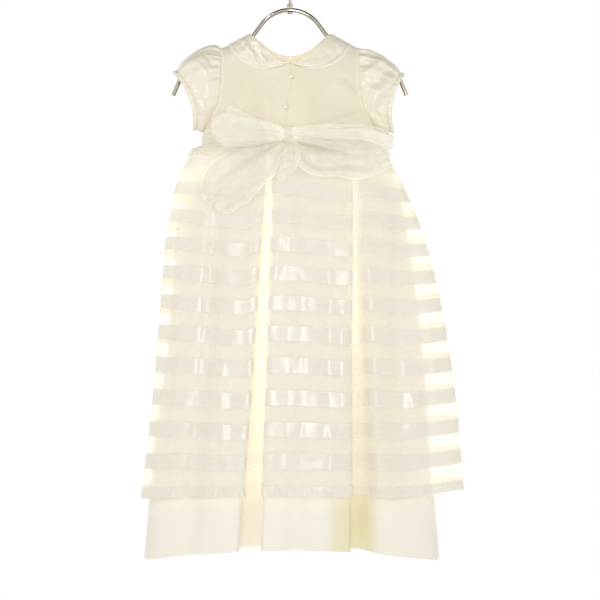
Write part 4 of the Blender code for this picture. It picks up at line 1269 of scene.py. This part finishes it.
def collar():
    """The flat collar, which lies on the bodice from the opening round the neck."""
    rise = np.linspace(-1, 1, COLLAR_COLUMNS)
    shares = 1 + rise * (COLLAR_CROWDING + (1 - COLLAR_CROWDING) * np.abs(rise))
    acrosses = np.linspace(0, 1, COLLAR_ROWS)
    foot = np.zeros((COLLAR_ROWS, len(shares), 3))
    ways = foot.copy()
    for r, across in enumerate(acrosses):
        for c, share in enumerate(shares):
            x, z, side = collar_place(share, across)
            foot[r, c] = bodice_points(np.array(-x), np.array(z), side)
            # The way out leans to no side at the centres, and not forwards or back at the shoulder.
            lean_x = COLLAR_LEAN_X * min(share, 2 - share)
            flat = np.array([min(1, lean_x), min(1, COLLAR_LEAN_Y * abs(share - 1)), 1])
            ways[r, c] = unit(bodice_normals(np.array(-x), np.array(z), side) * flat)
    mirror = np.array([-1, 1, 1])
    foot, ways = (np.concatenate([half, (half * mirror)[:, -2::-1]], axis=1) for half in (foot, ways))
    outer = foot + ways * (COLLAR_CLEAR + COLLAR_THICKNESS)
    x, z = outer[..., 0], outer[..., 2]
    front = np.clip(-outer[..., 1] / COLLAR_FRONT_FADE, 0, 1)
    crumple = np.clip(-x / COLLAR_LEFT_FADE, 0, 1) * front
    all_over, on_left = COLLAR_WANDER
    height = crease_height(x, z, COLLAR_CREASES) * front
    height = height + (all_over + on_left * crumple) * wander(x, z, COLLAR_WANDER_SIZE, 21)
    fade = np.sin(np.pi * np.clip(acrosses, 0.02, 0.98)) ** 0.5
    rim = -COLLAR_EDGE_ROLL * acrosses**COLLAR_EDGE_SHARPNESS
    for rise, place in COLLAR_RIM:
        rim = rim + rise * np.exp(-(((acrosses - place) / COLLAR_RIM_WIDTH) ** 2))
    height = np.maximum(height, COLLAR_DIP) * fade[:, None] + rim[:, None]
    form = outer + ways * height[..., None]
    return cloth("collar", form, COLLAR_THICKNESS, skin("collar satin"), "collar_satin")


# ============================================================================================
# Skirts
# ============================================================================================


def fold_growth(z):
    """0 at the waist to 1 at the underskirt's hem."""
    foot = UNDERSKIRT_LEVELS[-1][0]
    return np.clip((z - WAIST_Z) / (foot - WAIST_Z), 0, 1)


def base_section(levels, side, z, fine=1200):
    """A section of one skirt panel without its folds: its points, the way in, and the distances."""
    t = np.linspace(0, 1, fine)
    centre, half = float(smooth_at(levels, z, 1)), float(smooth_at(levels, z, 2))
    depth = float(smooth_at(levels, z, 3 if side == "front" else 4))
    out = OUT[side]
    boxy = 1 - HEM_SQUARENESS * float(fold_growth(z))
    x = centre - half * np.cos(np.pi * t)
    y = out * (SEAM_GAP / 2 + depth * np.sin(np.pi * t) ** boxy)
    line = np.stack([x, y], axis=-1)
    tangent = unit(np.gradient(line, axis=0))
    inward = np.stack([out * tangent[:, 1], -out * tangent[:, 0]], axis=-1)
    return line, inward, run_lengths(line)


def folds_of(side):
    """The folds of one panel, in order across it."""
    return sorted((fold for fold in SKIRT_FOLDS if fold[0] == side), key=lambda fold: fold[3])


def fold_columns(side, skirt, z):
    """Where each fold's columns of points are along the section at height z, and how deep they sink."""
    line, _, along = base_section(skirt["levels"], side, z)
    growth = float(fold_growth(z))
    places, sinks = [], []
    for _, kind, waist_x, hem_x, half_width, depth in folds_of(side):
        middle = float(np.interp(waist_x + (hem_x - waist_x) * growth, line[:, 0], along))
        half = half_width * (FOLD_START + (1 - FOLD_START) * growth)
        if kind != "soft":
            half -= skirt["fold_ease"]
        for start, end, sink in FOLD_PROFILES[kind]:
            places.append(middle + half * (start + (end - start) * growth))
            sinks.append(sink * depth * growth**FOLD_DEEPENING)
    return places, sinks, along[-1]


def column_plan(side, skirt):
    """The first column of each fold, and how many plain columns go before, between and after them."""
    places, _, length = fold_columns(side, skirt, skirt["rows"][-1])
    first = np.cumsum([0] + [len(FOLD_PROFILES[kind]) for _, kind, *_ in folds_of(side)])
    starts = [0] + [places[i - 1] for i in first[1:]]
    ends = [places[i] for i in first[:-1]] + [length]
    return first, [max(0, round((end - start) / skirt["pitch"]) - 1) for start, end in zip(starts, ends)]


def hem_rise(x, z, skirt):
    """How much a point of the skirt is lifted, more and more towards the hem."""
    foot, _, half = skirt["levels"][-1][:3]
    share = np.clip((WAIST_Z - z) / (WAIST_Z - foot), 0, 1)
    middle = skirt["middle_rise"] * np.clip(1 - (x / half) ** 2, 0, 1)
    corner = skirt["side_lift"] * np.clip((x - SIDE_LIFT_START) / (half - SIDE_LIFT_START), 0, 1)
    return (middle + corner) * share**3


def skirt_glow(kind, side, grid):
    """How much painted glow the skirt gets, in place of light through it and against its shade: more
    in its folds, where it is covered, and round the edge of the overskirt's pleat."""
    x, y, z = np.moveaxis(grid, -1, 0)
    skirt = SKIRTS[kind]
    centre, half, depth = (smooth_at(skirt["levels"], z, c) for c in (1, 2, 3 if side == "front" else 4))
    across = np.sqrt(np.clip(1 - ((x - centre) / half) ** 2, 0, 1)) ** (1 - HEM_SQUARENESS)
    growth = np.maximum(fold_growth(z), 0.03) ** FOLD_DEEPENING
    start, full = (limit * growth for limit in FOLD_GLOW_DEPTHS)
    sunk = np.clip((depth * across - OUT[side] * y - start) / (full - start), 0, 1)
    all_over, in_folds = SKIRT_GLOW[kind]
    glow = all_over + in_folds * smooth_at(FOLD_GLOW[side], x, 1) * smooth_at(FOLD_GLOW_FADE, z, 1) * sunk
    if kind == "underskirt":
        above, softness = COVERED_EDGE
        return glow + COVERED_GLOW / (1 + np.exp((COVER_HEM + above - z) / softness))
    return glow + (crease_height(x, z, PAINTED_PLEAT_EDGE_GLOW) if side == "front" else 0)


def beside_underskirt(x, z):
    """0 in the middle of the skirt to 1 at its sides, where the underskirt isn't behind."""
    centre, half = smooth_at(UNDERSKIRT_LEVELS, z, 1), smooth_at(UNDERSKIRT_LEVELS, z, 2)
    past = np.abs(x - centre) - half + EDGE_CLEAR * (x > 0)
    side = 1 / (1 + np.exp(np.clip(-past / EDGE_SOFTNESS, -30, 30)))
    return np.clip((EDGE_START_Z - z) / EDGE_START_FADE, 0, 1) * side


def doubled_share(kind, x, z):
    """How much painted shade the cloth beside the right-hand pleat gets."""
    start, end, share = (smooth_at(PAINTED_PLEAT_SHADE[kind], z, column) for column in (1, 2, 3))
    return share / (1 + np.exp((start - x) / PAINTED_PLEAT_SHADE_EDGE)) / (1 + np.exp((x - end) / PAINTED_PLEAT_SHADE_EDGE))


def skirt_grid(side, skirt):
    """The sparse net that the skirt's solid is lofted through, from the hem up."""
    first, plain = column_plan(side, skirt)
    grid = []
    for z in skirt["rows"]:
        line, inward, along = base_section(skirt["levels"], side, z)
        places, sinks, length = fold_columns(side, skirt, z)
        marks, depths = [0], [0]
        stops = [places[i] for i in first[:-1]] + [length]
        for k, (count, stop) in enumerate(zip(plain, stops)):
            begin = marks[-1]
            marks += [begin + (stop - begin) * (i + 1) / (count + 1) for i in range(count)]
            depths += [0] * count
            if k < len(plain) - 1:
                marks += places[first[k] : first[k + 1]]
                depths += sinks[first[k] : first[k + 1]]
        marks, depths = marks + [length], np.array(depths + [0])
        x, y = (
            np.interp(marks, along, place) + np.interp(marks, along, way) * depths
            for place, way in zip(line.T, inward.T)
        )
        grid.append(np.stack([x, y, z + hem_rise(x, z, skirt)], axis=-1))
    grid = np.array(grid[::-1])
    return grid if side == "front" else grid[:, ::-1]


def stripe_rise(grid, skirt):
    """Distance of each point from the hem along the cloth, by which the stripes are placed."""
    x, z = grid[..., 0], grid[..., 2]
    foot = skirt["levels"][-1][0]
    level = z - hem_rise(x, z, skirt) - foot
    share = np.clip(level / (WAIST_Z - foot), 0, 1)
    # The stripes of the back lean as those of the front do, seen from behind.
    place = x * np.where(grid[..., 1] <= 0, 1, -1)
    lean = smooth_at(STRIPE_LEAN, place, 1) * (1 - share) + smooth_at(STRIPE_LEAN, place, 2) * share
    lift = lean * np.clip(level / STRIPE_LEAN_START, 0, 1)
    return smooth_at(STRIPE_RISE, np.clip(level - lift, 0, None), 1)


def skirt_net(kind, side):
    """The skirt's form on an even net, from the hem up."""
    rows, columns = SKIRTS[kind]["net"]
    sparse = skirt_grid(side, SKIRTS[kind])
    wide = np.swapaxes(read_between(np.swapaxes(sparse, 0, 1), even_places(sparse[0], columns)), 0, 1)
    return read_between(wide, even_places(wide[:, columns // 2], rows))


def skirt_relief(kind, side, grid, rise):
    """How high the gathers, creases and hem puckers of a skirt stand at each point of its net."""
    x, z = grid[..., 0], grid[..., 2]
    waist = run_lengths(grid[-1])
    down = np.clip(WAIST_Z - z, 0, None)
    seed = len(kind) + (7 if side == "back" else 0)
    strength = SKIRTS[kind]["creasing"]
    height = np.zeros_like(x)
    for k, (spacing, rise_of, length) in enumerate(GATHERS):
        start = np.clip(down / GATHER_FADE, 0, 1) * np.exp(-down / length)
        height += strength * rise_of * ripples(waist, spacing, seed + k) * start
    height += crease_height(x, z, SKIRT_CREASES[kind, side]) * strength
    uneven = sum(rise_of * wander(x, z * tall, size, seed + k) for rise_of, size, k, tall in SKIRT_WANDER)
    height += strength * uneven * np.clip(down / SKIRT_WANDER_FADE, 0, 1)
    if rise is not None:
        pucker = ripples(run_lengths(grid[0]), HEM_PUCKER_PITCH, seed + 20)
        height += HEM_PUCKER * pucker * np.exp(-((rise / HEM_PUCKER_HEIGHT) ** 2))
    return height * np.clip(np.minimum(waist, waist[-1] - waist) / SIDE_SEAM_FADE, 0, 1)


def skirt_panel(kind, side):
    """The front or the back of the overskirt or the underskirt."""
    grid = skirt_net(kind, side)
    x, z = grid[..., 0], grid[..., 2]
    gown = settings()
    thickness, material, slot = gown.satin_thickness / MM, "underskirt taffeta", "underskirt_taffeta"
    rise, shares = None, {}
    if kind == "overskirt":
        thickness, material, slot = gown.organza_thickness / MM, "striped organza", "striped_organza"
        rise = stripe_rise(grid, SKIRTS[kind])
        # The open share is a painted glow at the sides, where the overskirt hangs clear of the underskirt.
        shares = {"open": EDGE_GLOW * beside_underskirt(x, z)}
    form = raised(grid, skirt_relief(kind, side, grid, rise))
    # The glow is painted light, and the front beside its pleat gets painted shade.
    return cloth(
        f"{kind}_{side}", form, thickness, skin(material), slot, rise=rise,
        glow=skirt_glow(kind, side, grid),
        doubled=doubled_share(kind, x, z) if side == "front" else 0, **shares,
    )


# ============================================================================================
# Sash and bow
# ============================================================================================


def ribbon(name, grid, height, glow, wrap=False):
    """A stretch of the sash's ribbon."""
    thickness = settings().organza_thickness / MM
    form = raised(grid, height, wrap)
    return cloth(name, form, thickness, skin("ribbon organza"), "ribbon_organza", wrap=wrap, glow=glow)


def sash():
    """The band round the waist, over the foot of the bodice and the head of the skirt."""
    rows, columns = SASH_NET
    angle = 2 * np.pi * np.arange(columns) / columns
    grid = np.zeros((rows, columns, 3))
    for r, z in enumerate(np.linspace(SASH_LEVELS[0][0], SASH_LEVELS[-1][0], rows)):
        gap = float(smooth_at(SASH_LEVELS, z, 1))
        if z < WAIST_Z:
            middle, half, depth = (float(smooth_at(OVERSKIRT_LEVELS, z, c)) for c in (1, 2, 3))
        else:
            middle, half, depth = 0, float(smooth_at(BODICE_SIDE, z, 1)), CHEST_DEPTH
        x, y = middle - (half + gap) * np.cos(angle), -(depth + gap) * np.sin(angle)
        grid[r] = np.stack([x, y, z + 0 * angle], axis=-1)
    z = grid[..., 2]
    height = np.zeros_like(z)
    for k, (level, half, rise, drift) in enumerate(SASH_PLEATS):
        long_wave, short_wave = np.sin(angle * (3 + k) + k), np.sin(angle * (7 + 2 * k) + 2 * k)
        line = level + drift * long_wave + SASH_SECOND_WAVE * drift * short_wave
        height += rise * np.exp(-(((z - line) / half) ** 2))
    rise, size = SASH_WANDER
    height += rise * wander(angle[None] * SASH_RADIUS, z, size, 31)
    return ribbon("sash", grid, height, RIBBON_GLOW, wrap=True)


def bow_loop(name):
    """A ribbon that leaves the knot, turns round at its far end and comes back behind itself."""
    size = LOOPS[name]
    seed = len(name)
    ribs, runs = LOOP_NET
    run = np.linspace(0, 1, runs)
    x, y, z, half = (smooth_at(size["rows"], run, column) for column in (1, 2, 3, 4))
    out = np.abs(x - x[0]) / np.ptp(x)
    way = np.sign(x[runs // 2])
    share = np.sin(np.linspace(-1, 1, ribs) * math.pi / 2)[:, None]
    belly = LOOP_BELLY * (1 - share**2) * out * np.cos(np.pi * run)
    tip = way * size["round"] * (1 - np.sqrt(1 - share**2)) * out**3
    half = half * (1 + RIBBON_WAVER * wander(run * LOOP_LENGTH, share, LOOP_WAVER_SIZE, seed + 6) * out)
    grid = np.stack([x - tip, y - belly, z + share * half], axis=-1)
    height = 0
    for rise, spacing, k, fade in LOOP_PLEATS:
        pleats = ripples(np.linspace(-1, 1, ribs) * LOOP_HALF_WIDTH, spacing, seed + k)[:, None]
        height = height + rise * pleats * (1 - out) ** fade
    half_width, length = LOOP_CRUMPLE_PLAN
    crumple = wander(share * half_width, run * length, RIBBON_CRUMPLE_SIZE, seed + 4)
    height = height * np.clip(out / LOOP_START, 0, 1) + RIBBON_CRUMPLE * crumple * out
    if way < 0:
        grid, height = grid[:, ::-1], height[:, ::-1]
    return ribbon(name, grid, height, painted_ribbon_glow(grid))


def painted_ribbon_glow(grid):
    """Painted glow on a ribbon, in place of light through it: more along its two woven edges, and by
    the knot, where it lightens the shade of the folds.
    """
    share = np.abs(np.linspace(-1, 1, len(grid)))[:, None]
    near = np.hypot(grid[..., 0] - KNOT[0], grid[..., 2] - KNOT[2])
    start, softness = SELVEDGE
    edges = SELVEDGE_GLOW * np.clip((share - start) / softness, 0, 1)
    return RIBBON_GLOW + edges + KNOT_GLOW * np.exp(-((near / KNOT_GLOW_REACH) ** 2))


def skirt_front_y(x, z):
    """Where a tail lies in front of the sash and the skirt, without their folds."""
    level = np.minimum(z, WAIST_Z - 0.5)
    middle, half, depth = (smooth_at(OVERSKIRT_LEVELS, level, column) for column in (1, 2, 3))
    across = np.clip(1 - ((x - middle) / half) ** 2, TAIL_SPREAD, 1)
    return -(depth + SASH_CLEAR + TAIL_LIFT) * np.sqrt(across)


def bow_tail(name):
    """A free end of the sash, pinched where it leaves the knot."""
    rows = np.array(TAILS[name])
    seed = len(name)
    ribs, runs = TAIL_NET
    steps = np.linspace(0, len(rows) - 1, runs)
    table = np.column_stack([np.arange(len(rows)), rows])
    x, z, half, clear = (smooth_at(table, steps, column) for column in (1, 2, 3, 4))
    ahead_x, ahead_z = unit(np.gradient(np.stack([x, z], axis=-1), axis=0)).T
    share = np.linspace(-1, 1, ribs)[:, None]
    run = np.linspace(0, 1, runs)
    waver = wander(run * TAIL_LENGTH, share * TAIL_WAVER_WIDTH, TAIL_WAVER_SIZE, seed + 6) * run**0.5
    reach = share * half * (1 + RIBBON_WAVER * waver)
    across_x, across_z = x - ahead_z * reach, z + ahead_x * reach
    openness = np.minimum(half / TAIL_OPEN, 1)
    ripple = TAIL_RIPPLE * np.cos(share * TAIL_WAVES * math.pi) * openness
    depth = skirt_front_y(across_x, across_z) - clear - ripple
    grid = np.stack([across_x, depth, across_z], axis=-1)
    rise, spacing, fade = TAIL_PLEATS
    across = share * TAIL_HALF_WIDTH
    pleats = ripples(across[:, 0], spacing, seed + 2)[:, None]
    height = rise * pleats * np.exp(-run / fade)
    height = height + RIBBON_CRUMPLE * wander(across, run * TAIL_LENGTH, RIBBON_CRUMPLE_SIZE, seed)
    height = height * np.clip(run / TAIL_START, 0, 1) * openness
    if grid[0, -1, 0] < grid[0, 0, 0]:
        grid, height = grid[::-1, ::-1], height[::-1, ::-1]
    return ribbon(name, grid, height, painted_ribbon_glow(grid))


def knot():
    """The ribbon wrapped over the middle of the bow, as a closed band with pulled folds."""
    made = bmesh.new()
    bmesh.ops.create_uvsphere(made, u_segments=72, v_segments=48, radius=1)
    places = np.array([vertex.co for vertex in made.verts])
    shaped = np.sign(places) * np.abs(places) ** KNOT_SQUARENESS * np.array(KNOT_SIZE)
    across, _, up = places.T
    folds = sum(depth * np.sin(across * count + slant * up) for depth, count, slant in KNOT_FOLDS)
    shaped *= 1 + (folds * (1 - np.abs(up) ** 4))[:, None]
    shaped += np.array(KNOT)
    for vertex, place in zip(made.verts, shaped):
        vertex.co = Vector(place) * MM
    mesh = bpy.data.meshes.new("bow_knot")
    made.to_mesh(mesh)
    made.free()
    chart = mesh.uv_layers.new(name="cloth")
    for loop in mesh.loops:
        place = mesh.vertices[loop.vertex_index].co
        chart.data[loop.index].uv = (place.x, place.z)
    # A painted glow, the same all over the knot.
    light = [RIBBON_GLOW + KNOT_GLOW] * len(mesh.vertices)
    mesh.attributes.new("glow", "FLOAT", "POINT").data.foreach_set("value", light)
    mesh.shade_smooth()
    obj = piece("bow_knot_cloth", mesh, skin("ribbon organza"))
    sew_on(obj, "bow_knot")
    return obj


# ============================================================================================
# Buttons and hanger
# ============================================================================================


def finish_nodes(material, *nodes):
    """Gives CAD nodes that keep their shape a better material."""
    for name in nodes:
        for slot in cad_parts[name].material_slots:
            slot.link = "OBJECT"
            slot.material = material


def bent_tube(name, corners, radius, sides, material, step=2):
    """A round tube with closed ends, pushed along straight runs and bent round at each corner."""
    places = [Vector((x, 0, z)) * MM for x, z, _ in corners]
    runs = [(after - before).normalized() for before, after in zip(places, places[1:])]
    bpy.ops.object.select_all(action="DESELECT")
    bpy.ops.mesh.primitive_circle_add(
        vertices=sides, radius=radius * MM, fill_type="NGON", location=places[0],
        rotation=runs[0].to_track_quat("Z", "Y").to_euler(),
    )
    obj = bpy.context.active_object
    obj.name = name
    bpy.ops.object.mode_set(mode="EDIT")
    bpy.ops.mesh.select_all(action="SELECT")
    here = places[0]
    for i in range(1, len(places)):
        turn = reach = 0
        if i < len(places) - 1:
            turn = math.atan2(runs[i].z, runs[i].x) - math.atan2(runs[i - 1].z, runs[i - 1].x)
            reach = corners[i][2] * MM * abs(math.tan(turn / 2))
        stop = places[i] - runs[i - 1] * reach
        bpy.ops.mesh.extrude_region_move(TRANSFORM_OT_translate={"value": stop - here})
        here = stop
        if turn:
            bend = corners[i][2]
            side = math.copysign(1, turn) * Vector((-runs[i - 1].z, 0, runs[i - 1].x))
            steps = max(4, math.ceil(abs(turn) * bend / step))
            bpy.ops.mesh.spin(steps=steps, angle=turn, center=stop + side * bend * MM, axis=(0, 1, 0))
            here = places[i] + runs[i] * reach
    bpy.ops.mesh.select_all(action="SELECT")
    bpy.ops.mesh.normals_make_consistent(inside=False)
    bpy.ops.object.mode_set(mode="OBJECT")
    bpy.ops.object.transform_apply(location=True, rotation=True, scale=True)
    bpy.ops.object.shade_smooth_by_angle(angle=math.radians(40))
    obj.data.materials.append(material)
    return obj


# ============================================================================================
# Settings, operators and panel
# ============================================================================================


class GownSettings(PropertyGroup):
    satin: FloatVectorProperty(
        name="Satin", description="Colour of the bodice", subtype="COLOR",
        min=0, max=1, default=linear("EBE4CF"),
    )
    collar_satin: FloatVectorProperty(
        name="Collar satin", description="Colour of the collar and sleeves", subtype="COLOR",
        min=0, max=1, default=linear("F2EBD8"),
    )
    taffeta: FloatVectorProperty(
        name="Underskirt", description="Colour of the plain underskirt", subtype="COLOR",
        min=0, max=1, default=linear("F2EDDF"),
    )
    organza: FloatVectorProperty(
        name="Organza", description="Colour of the sheer stripes", subtype="COLOR",
        min=0, max=1, default=linear("F6F3EA"),
    )
    satin_stripe: FloatVectorProperty(
        name="Satin stripe", description="Colour of the woven satin stripes", subtype="COLOR",
        min=0, max=1, default=linear("F2EDE1"),
    )
    ribbon: FloatVectorProperty(
        name="Ribbon", description="Colour of the sash and bow", subtype="COLOR",
        min=0, max=1, default=linear("F3EFE4"),
    )
    stripe_pitch: FloatProperty(
        name="Stripe pitch", description="From one satin stripe to the next along the cloth",
        unit="LENGTH", min=0.005, max=0.2, default=0.043,
    )
    stripe_width: FloatProperty(
        name="Stripe width", description="Width of a satin stripe", unit="LENGTH",
        min=0.002, max=0.1, default=0.0205,
    )
    sheer_cover: FloatProperty(
        name="Sheer cover", description="How much the sheer cloth hides what is behind it",
        subtype="FACTOR", min=0.05, max=0.99, default=0.5,
    )
    satin_thickness: FloatProperty(
        name="Satin thickness", description="Thickness of the satin and the underskirt's cloth",
        unit="LENGTH", min=0.0001, max=0.003, default=0.0006,
    )
    organza_thickness: FloatProperty(
        name="Organza thickness", description="Thickness of the organza", unit="LENGTH",
        min=0.0001, max=0.003, default=0.0004,
    )


class GOWN_OT_bodice(Operator):
    """Makes the two fronts and the back of the bodice"""

    bl_idname = "gown.bodice"
    bl_label = "Bodice"

    def execute(self, context):
        left = bodice_panel("bodice_front_left", "front", -1)
        right = bodice_panel("bodice_front_right", "front", 1)
        back = bodice_panel("bodice_back", "back", 0)
        return {"FINISHED"}


class GOWN_OT_sleeves(Operator):
    """Makes the gathered sleeves and their bound edges"""

    bl_idname = "gown.sleeves"
    bl_label = "Sleeves"

    def execute(self, context):
        for side in SLEEVES:
            grid = sleeve_grid(side)
            arm, band = sleeve(side, grid), cuff(side, grid)
        return {"FINISHED"}


class GOWN_OT_collar(Operator):
    """Makes the flat collar"""

    bl_idname = "gown.collar"
    bl_label = "Collar"

    def execute(self, context):
        collar()
        return {"FINISHED"}


def gathered_skirt(kind):
    """Both panels of a skirt, each gathered at the waist."""
    for side, above in (("front", "bodice_front_left"), ("back", "bodice_back")):
        skirt_panel(kind, side)


class GOWN_OT_underskirt(Operator):
    """Makes the front and back of the plain pleated underskirt"""

    bl_idname = "gown.underskirt"
    bl_label = "Underskirt"

    def execute(self, context):
        gathered_skirt("underskirt")
        return {"FINISHED"}


class GOWN_OT_overskirt(Operator):
    """Makes the front and back of the gathered striped overskirt"""

    bl_idname = "gown.overskirt"
    bl_label = "Overskirt"

    def execute(self, context):
        gathered_skirt("overskirt")
        return {"FINISHED"}


class GOWN_OT_bow(Operator):
    """Makes the sash and its bow"""

    bl_idname = "gown.bow"
    bl_label = "Sash and bow"

    def execute(self, context):
        band, wrap = sash(), knot()
        for name in LOOPS:
            bow_loop(name)
        for name in TAILS:
            bow_tail(name)
        return {"FINISHED"}


class GOWN_OT_buttons(Operator):
    """Gives the pearl buttons their finish"""

    bl_idname = "gown.buttons"
    bl_label = "Buttons"

    def execute(self, context):
        finish_nodes(skin("pearl lacquered button"), "button_upper", "button_lower")
        return {"FINISHED"}


class GOWN_OT_hanger(Operator):
    """Makes the bent tube of the hanger and gives its hook, nut and rivet their finish"""

    bl_idname = "gown.hanger"
    bl_label = "Hanger"

    def execute(self, context):
        steel = skin("nickel-plated steel")
        corners = TUBE_CORNERS + tuple((-x, z, radius) for x, z, radius in TUBE_CORNERS[-2::-1])
        arms = bent_tube("hanger_tube", corners, TUBE_RADIUS, TUBE_SIDES, steel)
        sew_on(arms, "hanger_arms")
        finish_nodes(steel, "hanger_nut", "hanger_rivet", "hanger_hook")
        return {"FINISHED"}


def area_light(name, place, size, power):
    """A plain white soft box that is turned to the gown."""
    light = bpy.data.lights.new(name, "AREA")
    light.shape = "RECTANGLE"
    light.size, light.size_y = size
    light.energy = power
    obj = bpy.data.objects.new(name, light)
    obj.location = Vector(place)
    obj.rotation_euler = (Vector(CAMERA_AIM) * MM - obj.location).to_track_quat("-Z", "Y").to_euler()
    bpy.context.scene.collection.objects.link(obj)


def floor():
    """A round pale floor, which also throws a little light up at the gown."""
    bpy.ops.mesh.primitive_circle_add(
        vertices=96, radius=FLOOR_RADIUS * MM, fill_type="NGON", location=(0, 0, FLOOR_Z * MM)
    )
    ground = bpy.context.active_object
    ground.name = "floor"
    material, _, _ = new_material(
        "matt white floor paint", Roughness=0.9, Base_Color=paint("FAFAF7"),
        Emission_Color=paint("FFFFFF"), Emission_Strength=FLOOR_GLOW,
    )
    ground.data.materials.append(material)


def studio():
    """A room that is white all round, with a dark ceiling."""
    world = bpy.data.worlds.new("white studio")
    world.use_nodes = True
    tree = world.node_tree
    up = add(tree, "SeparateXYZ", {0: add(tree, "TexCoord", out="Generated")}, 2)
    shade = add(tree, "MapRange", {0: up, **CEILING})
    tree.links.new(shade, tree.nodes["Background"].inputs["Color"])
    tree.nodes["Background"].inputs["Strength"].default_value = 1
    bpy.context.scene.world = world


def camera():
    """A camera straight in front of the gown."""
    lens = bpy.data.cameras.new("camera")
    lens.sensor_width = SENSOR
    lens.lens = SENSOR * CAMERA_DISTANCE / FRAME_WIDTH
    obj = bpy.data.objects.new("camera", lens)
    obj.location = (Vector(CAMERA_AIM) + Vector((0, -CAMERA_DISTANCE, 0))) * MM
    obj.rotation_euler = (math.pi / 2, 0, 0)
    bpy.context.scene.collection.objects.link(obj)
    bpy.context.scene.camera = obj


class GOWN_OT_stage(Operator):
    """Makes the pale floor, the lights and the camera"""

    bl_idname = "gown.stage"
    bl_label = "Stage"

    def execute(self, context):
        floor()
        studio()
        context.scene.view_settings.view_transform = "Standard"
        for name, (place, size, power) in LIGHTS.items():
            area_light(name, place, size, power)
        camera()
        return {"FINISHED"}


PIECE_OPERATORS = (
    GOWN_OT_bodice,
    GOWN_OT_sleeves,
    GOWN_OT_collar,
    GOWN_OT_underskirt,
    GOWN_OT_overskirt,
    GOWN_OT_bow,
    GOWN_OT_buttons,
    GOWN_OT_hanger,
    GOWN_OT_stage,
)


class GOWN_PT_pieces(Panel):
    bl_idname = "GOWN_PT_pieces"
    bl_label = "Christening Gown"
    bl_space_type = "VIEW_3D"
    bl_region_type = "UI"
    bl_category = "Gown"

    def draw(self, context):
        for name in GownSettings.__annotations__:
            self.layout.prop(context.scene.gown, name)
        for operator in PIECE_OPERATORS:
            self.layout.operator(operator.bl_idname)


CLASSES = (GownSettings, *PIECE_OPERATORS, GOWN_PT_pieces)


def register():
    for cls in CLASSES:
        bpy.utils.register_class(cls)
    bpy.types.Scene.gown = PointerProperty(type=GownSettings)


def unregister():
    del bpy.types.Scene.gown
    for cls in reversed(CLASSES):
        bpy.utils.unregister_class(cls)


def main():
    register()
    bpy.ops.object.select_all(action="DESELECT")
    for operator in PIECE_OPERATORS:
        group, name = operator.bl_idname.split(".")
        getattr(getattr(bpy.ops, group), name)()


if __name__ == "__main__":
    main()
